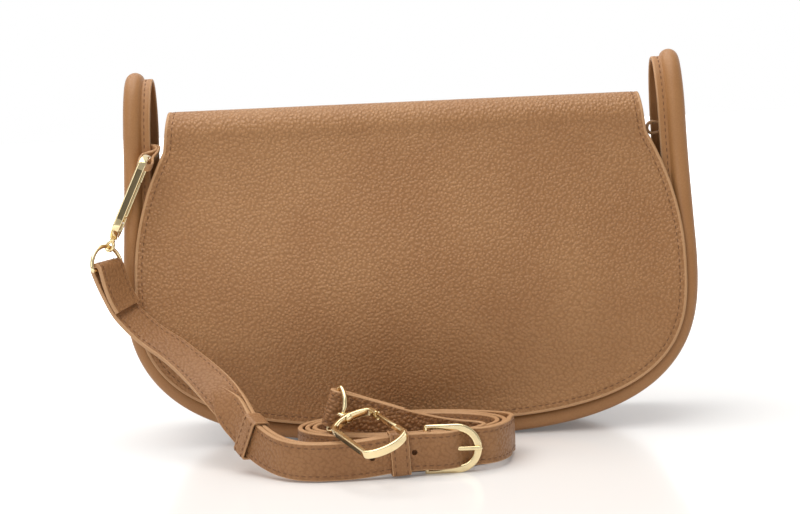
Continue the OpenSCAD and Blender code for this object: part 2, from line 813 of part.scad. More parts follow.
// Coil: one unbroken spiral that starts right of the buckle and winds inwards
coil_at = at_shares([-0.042, -2.266, 0]);
coil_start_angle = -15;
n_turn = 24;
coil_steps = round(coil_turns * n_turn);
function coil_point(i) =
    let (a = coil_start_angle + 360 * i / n_turn, in = coil_pitch * i / n_turn)
    [coil_at[0] + (coil_half_w - in) * cos(a), coil_at[1] + (coil_half_d - in) * sin(a),
        strap_w / 2];
coil = [for (i = [0:coil_steps]) coil_point(i)];

// Least gap of the coil to its own next turn, measured on its points
coil_gap = min([for (i = [0:coil_steps - n_turn / 2])
    min([for (j = [i + n_turn / 2:coil_steps]) norm(coil[i] - coil[j])])]) - strap_t;
echo(coil_gap = coil_gap);

// The long strap's line through the buckle, from its bar
through_shares = [[0.3, 0.34], [0.62, 0.32], [0.92, 0.18], [1.18, -0.06], [1.42, -0.25],
    [1.72, -0.245], [2.08, -0.31], [2.42, -0.55], [2.7, -0.94], [2.9, -1.42]];
hole_x = buckle_len / 2;

// The end that rises out of the coil to the right ring
end_shares = [
    [0.1, -2.815, 0.097], [0.17, -2.775, 0.098], [0.205, -2.69, 0.1],
    [0.213, -2.6, 0.104], [0.19, -2.535, 0.11], [0.15, -2.54, 0.119],
    [0.09, -2.6, 0.139], [0.02, -2.665, 0.17], [-0.05, -2.7, 0.205],
    [-0.125, -2.712, 0.247], [-0.18, -2.72, 0.276], [-0.225, -2.745, 0.301],
    [-0.262, -2.775, 0.32]
];
end_points = concat([coil[coil_steps]], [for (s = end_shares) at_shares(s)]);
end_last = len(end_points) - 1;
end_across = [0.32, 0, 0.95];
function end_at(u) = curve_at(end_points, u);
// From the right ring back along the strap
function end_back(u) =
    let (step = 0.1)
    unit(end_at(max(u - step, 0)) - end_at(min(u + step, end_last)));
function end_width(u) =
    square_to(mix([0, 0, 1], end_across, smooth((u - 3) / 4)), end_back(u));
// Towards the tab, behind the strap
function end_tab(u) = cross(end_width(u), end_back(u));
end_pitch = norm(end_at(end_last) - end_at(end_last - 1));
right_bar_at = end_at(end_last) + end_tab(end_last) * fold_r;
right_bar_dir = end_width(end_last);

tip_from_share = 0.4075;
tip_len_share = 0.065;
tip_width_share = 0.3;
tip_u = run_last * tip_from_share;
tip_len_u = run_last * tip_len_share;
long_us = concat([for (j = [0:3]) tip_u + tip_len_u * j / 4],
    [for (i = [ceil(4 * (tip_u + tip_len_u)):4 * run_last - 1]) i / 4]);
function tip_width(u) =
    strap_w * mix(tip_width_share, 1, sin(90 * bound((u - tip_u) / tip_len_u, 0, 1)));

module long_strap() {
    front = [for (u = long_us) run_at(u) + run_front(u) * (pair_step
        + 0.7 * strap_t * (1 - smooth((u - tip_u) / 2)))];
    through = [for (s = through_shares) by_buckle([s[0] * hole_x, s[1] * hole_x, 0])];
    turns = [for (i = [0:coil_steps - 1])
        coil[i] + [0, 0, (buckle_bar_at[2] - strap_w / 2) * (1 - smooth((i + 1) / 6))]];
    end_us = [for (i = [0:2 * end_last]) i / 2];
    rise = [for (u = end_us) end_at(u)];
    bend = [for (j = [1:n_fold_arc])
        let (a = 180 * j / n_fold_arc)
        right_bar_at - (end_tab(end_last) * cos(a) + end_back(end_last) * sin(a)) * fold_r];
    tab_us = [for (j = [1:n_tab]) end_last - fold_len / end_pitch * j / n_tab];
    tab = [for (u = tab_us)
        end_at(u) + end_tab(u) * 2 * fold_step((end_last - u) * end_pitch)];
    path = concat(front, through, turns, rise, bend, tab);
    widths = concat([for (u = long_us) run_width(u)],
        [for (p = concat(through, turns)) [0, 0, 1]],
        [for (u = end_us) end_width(u)], [for (p = bend) end_width(end_last)],
        [for (u = tab_us) end_width(u)]);
    w = concat([for (u = long_us) tip_width(u)],
        [for (p = concat(through, turns, rise, bend, tab)) strap_w]);
    color(leather_color)
        difference() {
            ribbon(path, widths, w, strap_t);
            prong_shape(prong_room);
            for (u = hole_us)
                place(run_at(u), run_dir(u), run_width(u))
                    translate([0, 0, pair_step])
                        cylinder(h = strap_t + 2 * over, d = hole_d, center = true);
        }
}

// Punched holes left of the buckle, one pitch apart
hole_step = norm(run_at(run_last - 2) - run_at(run_last - 3));
hole_us = [for (i = [1:2]) run_last - (hole_pitch * i - hole_x) / hole_step];

// Loop of leather round both layers
module keeper(u, gap) {
    inner_w = strap_w + 2 * keeper_play;
    inner_t = 2 * (pair_step + strap_t / 2 + gap);
    color(leather_color)
        place(run_at(u), run_dir(u), run_width(u))
            difference() {
                cube([keeper_w, inner_w + 2 * keeper_t, inner_t + 2 * keeper_t], center = true);
                cube([keeper_w + 2 * over, inner_w, inner_t], center = true);
            }
}

fixed_keeper_share = 0.925;
sliding_keeper_share = 0.545;

module fixed_keeper() {
    keeper(run_last * fixed_keeper_share, keeper_play);
}

module sliding_keeper() {
    keeper(run_last * sliding_keeper_share, 2 * keeper_play);
}

// The buckle

prong_eye_h = 2.4;
prong_d = 1.5;
prong_eye_t = 0.8;
prong_room = 0.3;
eye_clear = 0.1;
// The prong rests on the bow's front
prong_clear = 0.15;
prong_rest = [bow_x + buckle_half_h + buckle_r * 0.6, buckle_r + prong_d / 2 + prong_clear];

module buckle_frame() {
    color(metal_color)
        place(buckle_bar_at, buckle_dir, [0, 0, 1]) {
            rotate([90, 0, 0])
                cylinder(h = 2 * buckle_half_h, r = buckle_r, center = true);
            for (s = [-1, 1])
                translate([0, s * buckle_half_h, 0]) {
                    sphere(r = buckle_r);
                    rotate([0, 90, 0])
                        cylinder(h = bow_x, r = buckle_r);
                }
            translate([bow_x, 0, 0])
                rotate([0, 0, -90])
                    rotate_extrude(angle = 180)
                        translate([buckle_half_h, 0])
                            circle(r = buckle_r);
        }
}

// The prong's straight bar with its eye, grown by a clearance
module prong_shape(grow) {
    reach = norm(prong_rest);
    place(buckle_bar_at, by_buckle([prong_rest[0], prong_rest[1], 0]) - buckle_bar_at, [0, 0, 1])
        translate([buckle_r + prong_eye_t / 2 - grow, 0, 0])
            rotate([0, 90, 0])
                cylinder(h = reach - buckle_r - prong_eye_t / 2 + 2 * grow, d = prong_d + 2 * grow);
}

module buckle_prong() {
    color(metal_color)
        union() {
            prong_shape(0);
            place(buckle_bar_at, buckle_dir, [0, 0, 1])
                rotate([90, 0, 0])
                    difference() {
                        cylinder(h = prong_eye_h, r = buckle_r + eye_clear + prong_eye_t, center = true);
                        cylinder(h = prong_eye_h + 2 * over, r = buckle_r + eye_clear, center = true);
                    }
        }
}

// Rings, swivels and hooks

eye_r = 1.5;
eye_wire_d = 1.6;
post_d = 1.9;
collar_t = 0.7;
head_t = 0.8;
head_d = 3.6;
// From the oval's near end to the middle of the swivel's eye
eye_reach = play + collar_t + eye_r + eye_wire_d * 0.75;
// The ring's wire lies against the far side of the eye
eye_slack = eye_r - wire_d / 2 - eye_clear;

// Directions from each ring's bar to the top of its arc
left_ring_up = square_to([-0.1, 0.11, 0.99], left_bar_dir);
right_ring_up = square_to([0.47, -0.88, -0.03], right_bar_dir);
// Where on its arc each ring passes its swivel's eye
left_ring_turn = 27;
right_ring_turn = 0;
function ring_point(bar, up, along, turn) = bar + (along * sin(turn) + up * cos(turn)) * dring_r;
function ring_tangent(up, along, turn) = along * cos(turn) - up * sin(turn);
left_ring_at = ring_point(left_bar_at, left_ring_up, left_bar_dir, left_ring_turn);
right_ring_at = ring_point(right_bar_at, right_ring_up, right_bar_dir, right_ring_turn);
left_ring_tangent = ring_tangent(left_ring_up, left_bar_dir, left_ring_turn);
right_ring_tangent = ring_tangent(right_ring_up, right_bar_dir, right_ring_turn);

// Each hook's x axis points at its swivel, its y axis at its gate
left_hook_x = unit([-0.398, -0.218, -0.891]);
left_hook_y = square_to([-0.132, 0.975, -0.179], left_hook_x);
right_hook_x = unit([-0.449, 0.881, 0.149]);
right_hook_y = square_to([0.858, 0.379, 0.346], right_hook_x);
left_hook_at = left_ring_at - left_hook_x * (eye_slack + eye_reach + hook_len / 2);
right_hook_at = right_ring_at - right_hook_x * (eye_slack + eye_reach + hook_len / 2);

module dring(bar, up, along) {
    color(metal_color)
        place(bar, up, along) {
            rotate([0, 0, -90])
                rotate_extrude(angle = 180)
                    translate([dring_r, 0])
                        circle(d = wire_d);
            rotate([90, 0, 0])
                cylinder(h = 2 * dring_r, d = wire_d, center = true);
            for (s = [-1, 1])
                translate([0, s * dring_r, 0])
                    sphere(d = wire_d);
        }
}

module left_dring() dring(left_bar_at, left_ring_up, left_bar_dir);
module right_dring() dring(right_bar_at, right_ring_up, right_bar_dir);

module left_hook_frame() place(left_hook_at, left_hook_x, left_hook_y) children();
module right_hook_frame() place(right_hook_at, right_hook_x, right_hook_y) children();

// Post with its head inside the oval, collar and eye outside, the eye turned to the ring's wire
module swivel(eye_turn) {
    end_x = hook_len / 2;
    color(metal_color) {
        translate([end_x - band_t - 2 * play - head_t, 0, 0])
            rotate([0, 90, 0]) {
                cylinder(h = head_t, d = head_d);
                cylinder(h = head_t + band_t + 3 * play + collar_t, d = post_d);
            }
        translate([end_x + play, 0, 0])
            rotate([0, 90, 0])
                cylinder(h = collar_t, d = head_d * 0.85);
        translate([end_x + eye_reach, 0, 0])
            rotate([eye_turn, 0, 0])
                rotate_extrude()
                    translate([eye_r + eye_wire_d / 2, 0])
                        circle(d = eye_wire_d);
    }
}

function eye_turn(x, y, tangent) = atan2(-(tangent * y), tangent * cross(x, y));

module left_swivel() {
    left_hook_frame()
        swivel(eye_turn(left_hook_x, left_hook_y, left_ring_tangent));
}

module right_swivel() {
    right_hook_frame()
        swivel(eye_turn(right_hook_x, right_hook_y, right_ring_tangent));
}

// Straight-sided oval with two round ends
module oval(inset) {
    intersection() {
        union() {
            for (s = [-1, 1])
                translate([s * (hook_len / 2 - hook_end_r), 0])
                    circle(r = hook_end_r - inset);
            square([hook_len - 2 * hook_end_r, hook_w - 2 * inset], center = true);
        }
        square([hook_len - 2 * inset, hook_w - 2 * inset], center = true);
    }
}

gate_pin_d = 1.2;
gate_tongue_h = 1.7;
gate_shoulder = 0.5;
gate_pin_x = gate_len / 2 + band_t * 0.75;
gate_y = hook_w / 2 - band_t / 2;
panel_len = 26;
panel_h = 2.6;
panel_depth = 0.3;

module hook() {
    color(metal_color)
        difference() {
            linear_extrude(band_h, center = true)
                difference() {
                    oval(0);
                    oval(band_t);
                }
            translate([-gate_len / 2, hook_w / 2 - band_t - over, -band_h])
                cube([gate_len, band_t + 2 * over, 2 * band_h]);
            translate([0, hook_w / 2 - band_t - over, -gate_tongue_h / 2 - play])
                cube([gate_pin_x + band_t / 2 + play, band_t + 2 * over, gate_tongue_h + 2 * play]);
            translate([gate_pin_x, gate_y, 0])
                cylinder(h = band_h + 2 * over, d = gate_pin_d + play / 2, center = true);
            translate([hook_len / 2 - band_t - over, 0, 0])
                rotate([0, 90, 0])
                    cylinder(h = band_t + 2 * over, d = post_d + play);
            translate([-panel_len / 2, -hook_w / 2 - over, -panel_h / 2])
                cube([panel_len, panel_depth + over, panel_h]);
        }
}

module left_hook() left_hook_frame() hook();
module right_hook() right_hook_frame() hook();

// Bar that closes the oval, its narrow end held on the pin
module gate() {
    bar_t = band_t * 0.64;
    bar_end = gate_len / 2 - gate_shoulder;
    color(metal_color)
        difference() {
            union() {
                translate([-gate_len / 2 + play, gate_y - bar_t / 2, -band_h / 2 + play])
                    cube([bar_end + gate_len / 2 - play, bar_t, band_h - 2 * play]);
                translate([0, gate_y - bar_t / 2, -gate_tongue_h / 2])
                    cube([gate_pin_x, bar_t, gate_tongue_h]);
                translate([gate_pin_x, gate_y, 0])
                    cylinder(h = gate_tongue_h, d = band_t - play / 2, center = true);
            }
            translate([gate_pin_x, gate_y, 0])
                cylinder(h = band_h, d = gate_pin_d + play / 2, center = true);
        }
}

module left_gate() left_hook_frame() gate();
module right_gate() right_hook_frame() gate();

module gate_pin() {
    color(metal_color)
        translate([gate_pin_x, gate_y, 0])
            cylinder(h = band_h, d = gate_pin_d, center = true);
}

module left_gate_pin() left_hook_frame() gate_pin();
module right_gate_pin() right_hook_frame() gate_pin();

// The ear loops

loop_w = 5;
loop_t = 1.4;
loop_len = 13.5;
loop_eye_r = 3;
loop_h = 147;
loop_y = -6;
loop_play = 0.6;
loop_root_gap = 0.3;
lining_face_inset = gusset_inset + leather_t + layer_gap + lining_t;
strand_step = (loop_t + layer_gap) / 2;

// Right loop: a folded tab whose eye stands open between the ear and the flap
module right_ear_loop() {
    start_x = half_width(loop_h, lining_face_inset) - loop_root_gap;
    eye_x = start_x - loop_len + loop_eye_r + loop_t / 2;
    run_x = start_x - eye_x;
    side = [[0, strand_step], [0.3 * run_x, strand_step],
        [0.62 * run_x, mix(strand_step, loop_eye_r, 0.55)], [run_x, loop_eye_r]];
    strand = [for (j = [0:9]) curve_at(side, j / 3)];
    arc = [for (j = [1:5]) let (a = 180 * j / 6) [run_x + loop_eye_r * sin(a), loop_eye_r * cos(a)]];
    line = concat(strand, arc, [for (j = [9:-1:0]) [strand[j][0], -strand[j][1]]]);
    color(edge_color)
        ribbon([for (p = line) [start_x - p[0], loop_y, loop_h + p[1]]],
            [for (p = line) [0, 1, 0]], loop_w, loop_t);
}

// Left loop: the same tab drawn forwards round the hook's far end
grip_angle = 34;
module left_ear_loop() {
    x = left_hook_x;
    y = left_hook_y;
    n = cross(x, y);
    out = y * sin(grip_angle) - x * cos(grip_angle);
    along = x * sin(grip_angle) + y * cos(grip_angle);
    grip = left_hook_at - x * (hook_len / 2 - hook_end_r) + out * (hook_end_r - band_t / 2);
    a = band_t / 2 + loop_play + loop_t / 2;
    b = band_h / 2 + loop_play + loop_t / 2;
    anchor = [-half_width(loop_h, lining_face_inset + loop_t), loop_y - loop_t / 2, loop_h + loop_t];
    start = grip + out * 3 * a + [loop_play * 4.8, 0, 0];
    neck = [start, start + [-loop_play / 2, 2.6 * loop_t, loop_t],
        mix(start, anchor, 0.55) + [0, loop_t, loop_t / 2], anchor];
    neck_across = [-0.1, 0.2, -0.97];
    neck_dir = [for (i = [0:3]) unit(neck[min(i + 1, 3)] - neck[max(i - 1, 0)])];
    neck_side = [for (i = [0:3]) unit(cross(neck_dir[i], -neck_across))];
    half_loop = [grip + out * 1.5 * a + n * 0.72 * b, grip + out * 0.25 * a + n * b,
        grip - out * 0.68 * a + n * 0.9 * b, grip - out * a + n * 0.42 * b];
    other_loop = [for (p = half_loop) p - n * 2 * ((p - grip) * n)];
    s = strand_step * (neck_side[0] * n > 0 ? 1 : -1);
    path = concat([for (i = [3:-1:0]) neck[i] + neck_side[i] * s], half_loop,
        [for (i = [3:-1:0]) other_loop[i]], [for (i = [0:3]) neck[i] - neck_side[i] * s]);
    smooth_path = [for (j = [0:2 * (len(path) - 1)]) curve_at(path, j / 2)];
    widths = concat([for (i = [3:-1:0]) mix(along, neck_across, smooth(i / 2))],
        [for (p = concat(half_loop, other_loop)) along],
        [for (i = [0:3]) mix(along, neck_across, smooth(i / 2))]);
    smooth_widths = [for (j = [0:2 * (len(path) - 1)]) curve_at(widths, j / 2)];
    color(edge_color)
        ribbon(smooth_path, smooth_widths, loop_w, loop_t);
}

front_panel();
back_panel();
gusset();
front_roll();
back_roll();
front_binding();
back_binding();
lining_front();
lining_back();
lining_gusset();
base_board();
flap_yoke();
left_ear_loop();
right_ear_loop();
snap_socket();
pocket_bag();
zip_tapes();
zip_teeth();
zip_slider();
zip_puller();
flap_outer();
flap_edges();
flap_lining();
snap_stud();
short_strap();
long_strap();
fixed_keeper();
sliding_keeper();
buckle_frame();
buckle_prong();
left_dring();
left_swivel();
left_hook();
left_gate();
left_gate_pin();
right_dring();
right_swivel();
right_hook();
right_gate();
right_gate_pin();
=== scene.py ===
import math
import bmesh
import bpy
import numpy as np
from mathutils import Matrix, Vector


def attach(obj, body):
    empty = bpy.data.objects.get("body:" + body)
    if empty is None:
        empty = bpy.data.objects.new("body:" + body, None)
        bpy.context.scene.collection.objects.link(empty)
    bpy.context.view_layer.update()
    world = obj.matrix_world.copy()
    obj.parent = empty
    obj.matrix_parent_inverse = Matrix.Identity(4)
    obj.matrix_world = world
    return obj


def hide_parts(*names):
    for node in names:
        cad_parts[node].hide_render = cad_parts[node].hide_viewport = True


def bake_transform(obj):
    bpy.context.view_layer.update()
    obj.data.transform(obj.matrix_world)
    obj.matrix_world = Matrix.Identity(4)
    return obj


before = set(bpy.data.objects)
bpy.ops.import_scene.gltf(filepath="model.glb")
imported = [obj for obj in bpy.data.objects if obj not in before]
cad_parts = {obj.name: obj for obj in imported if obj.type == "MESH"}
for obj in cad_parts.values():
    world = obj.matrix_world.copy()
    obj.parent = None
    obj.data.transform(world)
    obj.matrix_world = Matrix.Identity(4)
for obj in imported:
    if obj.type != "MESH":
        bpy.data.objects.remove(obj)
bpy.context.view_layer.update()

# The bag's sizes in millimetres, as in the part's source
bag = {
    "width": 284, "depth": 71.5, "bellyHeight": 88, "earHeight": 186, "earSpring": 150,
    "shoulder": 45, "earHalfDepth": 14.5, "rollRadius": 4.75, "rollFlat": 0.5, "binding": 4.2,
    "leather": 1.8, "lining": 0.6, "layerGap": 0.2, "crown": 7, "frontTop": 142, "backTop": 159.3,
    "mouthHalf": 114, "lean": 0.03, "power": 3,
}
flapSizes = {
    "thickness": 1.75, "width": 271.4, "low": 8, "lift": 4.7, "foldRadius": 10, "dropAngle": 9.9,
    "hingeY": 11, "sideRadius": 128, "corner": 146, "shownTopWidth": 235, "bellyDrop": 4,
    "foldAbove": 3, "hingeShort": 0.3,
}
lowCount, sideCount, earCount = 14, 6, 9
allCount = lowCount + sideCount + earCount
baseHalf = bag["depth"] / 2 - bag["rollRadius"]
earRise = bag["earSpring"] - bag["bellyHeight"]
earArc = bag["earHeight"] - bag["rollRadius"] - bag["earSpring"]


def unit(v):
    v = np.asarray(v, float)
    return v / np.maximum(np.linalg.norm(v, axis=-1, keepdims=True), 1e-12)


def mix(a, b, k):
    return a + (b - a) * k


def ease(x):
    s = np.clip(x, 0, 1)
    return s * s * (3 - 2 * s)


def squareTo(v, t):
    return unit(v - t * np.sum(v * t, axis=-1, keepdims=True))


def lengthAlong(points):
    return np.concatenate([[0], np.cumsum(np.linalg.norm(np.diff(points, axis=0), axis=1))])


def curveAt(points, u):
    p = np.asarray(points, float)
    u = np.atleast_1d(u)
    i = np.clip(np.floor(u).astype(int), 0, len(p) - 2)
    f = (u - i)[:, None]
    a = p[np.maximum(i - 1, 0)]
    b = p[i]
    c = p[i + 1]
    d = p[np.minimum(i + 2, len(p) - 1)]
    return b + f * ((c - a) + f * ((2 * a - 5 * b + 4 * c - d) + f * (3 * b - a - 3 * c + d))) / 2


def halfDepth(z):
    z = np.asarray(z, float)
    ear = bag["earHalfDepth"] * np.sqrt(np.clip(1 - ((z - bag["earSpring"]) / earArc) ** 2, 0, 1))
    low = mix(baseHalf, bag["earHalfDepth"],
              ease((z - bag["shoulder"]) / (bag["earSpring"] - bag["shoulder"])))
    return np.where(z > bag["earSpring"], ear, low)


def halfWidth(z, inset):
    z = np.asarray(z, float)
    p = bag["power"]
    down = np.clip((bag["bellyHeight"] - z) / (bag["bellyHeight"] + bag["rollFlat"] - inset), 0, 1)
    low = (bag["width"] / 2 - inset) * (1 - down ** p) ** (1 / p)
    return np.where(z < bag["bellyHeight"], low,
                    bag["width"] / 2 - inset - bag["lean"] * (z - bag["bellyHeight"]))


def rimAt(k):
    k = np.atleast_1d(np.asarray(k, float))
    m = np.abs(k)
    side = np.where(k < 0, -1, 1)
    a = np.radians(90) * np.minimum(m, lowCount) / lowCount
    th = np.radians(90) * np.clip(m - lowCount - sideCount, 0, None) / earCount
    up = earRise * np.clip((m - lowCount) / sideCount, 0, 1) + earArc * np.sin(th)
    x = (bag["width"] / 2 - bag["rollRadius"]) * np.sin(a) ** (2 / bag["power"]) - bag["lean"] * up
    drop = bag["bellyHeight"] + bag["rollFlat"] - bag["rollRadius"]
    z = bag["bellyHeight"] + up - drop * np.cos(a).clip(0) ** (2 / bag["power"])
    half = np.where(m > lowCount + sideCount, bag["earHalfDepth"] * np.cos(th), halfDepth(z))
    return np.stack([side * x, -half, z], 1)


def rimFrame(k):
    k = np.atleast_1d(np.asarray(k, float))
    m = np.abs(k)
    side = np.where(k < 0, -1, 1)
    a = np.radians(90) * np.minimum(m, lowCount) / lowCount
    low = unit(np.stack([side * np.sin(a) ** (4 / bag["power"]) / (bag["width"] / 2), 0 * a,
                         -np.cos(a).clip(0) ** (4 / bag["power"]) / bag["bellyHeight"]], 1))
    high = unit(np.stack([side, 0 * a, np.full(len(k), bag["lean"])], 1))
    out = np.where((m < lowCount)[:, None], low, high)
    along = unit(rimAt(np.minimum(k + 0.05, allCount)) - rimAt(np.maximum(k - 0.05, -allCount)))
    along = np.where((m > allCount - 0.01)[:, None], np.stack([0 * k, side, 0 * k], 1), along)
    out = squareTo(out, along)
    return rimAt(k), out, np.cross(along, out)


def bulge(x, z):
    inset = 2 * bag["rollRadius"] + bag["binding"]
    k = np.clip((z - inset) / (bag["earSpring"] - inset), 0, 1)
    s = np.clip(np.abs(x) / np.maximum(bag["binding"], halfWidth(z, inset)), 0, 1)
    return bag["crown"] * 4 * k * (1 - k) * (1 - s * s) ** 1.5


def ripple(p, scale, seed):
    # Smooth small unevenness, the same on each run
    rng = np.random.default_rng(seed)
    out = np.zeros(len(p))
    for i in range(5):
        way = unit(rng.normal(size=3))
        out += np.sin((p @ way) / scale * (1 + 0.4 * i) + rng.uniform(0, 6.28)) / (1 + i)
    return out / 2.3


# Meshes
def newPiece(name, verts, faces, materials, body, replaces=(), slot="leather", zones=None, uv=None):
    mesh = bpy.data.meshes.new(name)
    verts = np.asarray(verts, float) / 1000
    mesh.from_pydata(verts.tolist(), [], [tuple(int(i) for i in f) for f in faces])
    for m in materials:
        mesh.materials.append(m)
    if zones is not None:
        mesh.polygons.foreach_set("material_index", np.asarray(zones, np.int32))
    if uv is not None:
        layer = mesh.uv_layers.new(name="Grain")
        loops = np.zeros(len(mesh.loops), np.int32)
        mesh.loops.foreach_get("vertex_index", loops)
        layer.data.foreach_set("uv", np.asarray(uv, np.float32)[loops].ravel())
    mesh.validate()
    bm = bmesh.new()
    bm.from_mesh(mesh)
    bmesh.ops.remove_doubles(bm, verts=bm.verts, dist=1e-6)
    bmesh.ops.recalc_face_normals(bm, faces=bm.faces)
    bm.to_mesh(mesh)
    bm.free()
    mesh.shade_smooth()
    obj = bpy.data.objects.new(name, mesh)
    bpy.context.scene.collection.objects.link(obj)
    if body:
        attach(obj, body)
    if replaces:
        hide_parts(*replaces)
    return obj


def gridFaces(rows, cols, wrapRows=False, wrapCols=False):
    i, j = np.meshgrid(np.arange(rows if wrapRows else rows - 1),
                       np.arange(cols if wrapCols else cols - 1), indexing="ij")
    i2 = (i + 1) % rows
    j2 = (j + 1) % cols
    return np.stack([i * cols + j, i * cols + j2, i2 * cols + j2, i2 * cols + j], -1).reshape(-1, 4)


def tubeFaces(n, m):
    # Faces of n closed sections of m points each, and of both ends
    return [tuple(f) for f in gridFaces(n, m, wrapCols=True)] + [tuple(range(m)),
                                                                 tuple(range((n - 1) * m, n * m))]


def joinMeshes(parts):
    verts, faces, base = [], [], 0
    for v, f in parts:
        verts.append(np.asarray(v, float))
        faces += [tuple(np.asarray(q) + base) for q in f]
        base += len(v)
    return np.concatenate(verts), faces


def sweepSection(path, across, out, section, zone=None, capZone=0):
    # A closed section carried along a path, with flat ends; section is one outline or one per station
    path = np.asarray(path, float)
    n = len(path)
    section = np.asarray(section, float)
    if section.ndim == 2:
        section = np.repeat(section[None], n, 0)
    m = section.shape[1]
    verts = path[:, None] + across[:, None] * section[..., :1] + out[:, None] * section[..., 1:2]
    zones = list(np.tile(zone if zone is not None else np.zeros(m, int), n - 1)) + [capZone, capZone]
    uv = np.stack([np.repeat(lengthAlong(path), m) / 1000, (section[..., 0] / 1000).ravel()], 1)
    return verts.reshape(-1, 3), tubeFaces(n, m), zones, uv


def alongCurve(points, step):
    # Points at an even step along a smooth curve, and their place in the list
    points = np.asarray(points, float)
    fine = np.linspace(0, len(points) - 1, (len(points) - 1) * 12 + 1)
    length = lengthAlong(curveAt(points, fine))
    count = max(2, int(round(length[-1] / step)))
    u = np.interp(np.linspace(0, length[-1], count + 1), length, fine)
    return curveAt(points, u), u


def strapSection(width, thick, radius=0.55, puff=0.0, groove=0.0, grooveAt=0.0):
    # Rounded flat section: zone 0 on the two faces, zone 1 on the edges
    a, b, zone = [], [], []
    flat = np.linspace(-width / 2 + radius, width / 2 - radius, 25)
    shape = thick / 2 - puff * (2 * np.abs(flat) / width) ** 2
    dip = groove * np.exp(-((width / 2 - np.abs(flat) - grooveAt) / 0.45) ** 2)
    for side in (1, -1):
        for x, h, d in zip(flat, shape, dip):
            a.append(side * x)
            b.append(side * (h - d))
            zone.append(0)
        zone[-1] = 1
        edgeHeight = shape[-1]
        for t in np.radians([30, 60]):
            a.append(side * (width / 2 - radius + radius * math.sin(t)))
            b.append(side * (edgeHeight - radius + radius * math.cos(t)))
            zone.append(1)
        a += [side * width / 2] * 2
        b += [side * (edgeHeight - radius), -side * (edgeHeight - radius)]
        zone += [1, 1]
        for t in np.radians([60, 30]):
            a.append(side * (width / 2 - radius + radius * math.sin(t)))
            b.append(-side * (edgeHeight - radius + radius * math.cos(t)))
            zone.append(1)
    return np.stack([a, b], 1), np.array(zone)


def bakeModifier(obj, mod):
    # Keeps what the modifier makes as the piece's own mesh
    result = bpy.data.meshes.new_from_object(obj.evaluated_get(bpy.context.evaluated_depsgraph_get()))
    obj.modifiers.remove(mod)
    obj.data = result


# Shader groups
def newGroup(name, inputs, outputs):
    tree = bpy.data.node_groups.new(name, "ShaderNodeTree")
    for label, kind, value in inputs:
        s = tree.interface.new_socket(label, in_out="INPUT", socket_type=kind)
        if value is not None:
            s.default_value = value
    for label, kind in outputs:
        tree.interface.new_socket(label, in_out="OUTPUT", socket_type=kind)
    return tree, tree.nodes.new("NodeGroupInput"), tree.nodes.new("NodeGroupOutput")


def addNode(tree, kind, **values):
    node = tree.nodes.new(kind)
    for key, value in values.items():
        if hasattr(node, key):
            setattr(node, key, value)
        else:
            node.inputs[key.replace("_", " ")].default_value = value
    return node


def mathNode(tree, operation, a, b):
    node = addNode(tree, "ShaderNodeMath", operation=operation)
    for i, x in enumerate((a, b)):
        if isinstance(x, (int, float)):
            node.inputs[i].default_value = x
        else:
            tree.links.new(x, node.inputs[i])
    return node.outputs[0]


def mapRange(tree, value, fromMin, fromMax, toMin, toMax):
    node = addNode(tree, "ShaderNodeMapRange", interpolation_type="SMOOTHSTEP")
    tree.links.new(value, node.inputs["Value"])
    for label, x in zip(("From Min", "From Max", "To Min", "To Max"), (fromMin, fromMax, toMin, toMax)):
        if isinstance(x, (int, float)):
            node.inputs[label].default_value = x
        else:
            tree.links.new(x, node.inputs[label])
    return node.outputs["Result"]


def mixColor(tree, factor, a, b):
    node = addNode(tree, "ShaderNodeMix", data_type="RGBA", blend_type="MIX")
    for socket, x in ((node.inputs[0], factor), (node.inputs[6], a), (node.inputs[7], b)):
        if isinstance(x, (int, float)):
            socket.default_value = x
        elif isinstance(x, (tuple, list)):
            socket.default_value = tuple(x) + ((1,) if len(x) == 3 else ())
        else:
            tree.links.new(x, socket)
    return node.outputs[2]


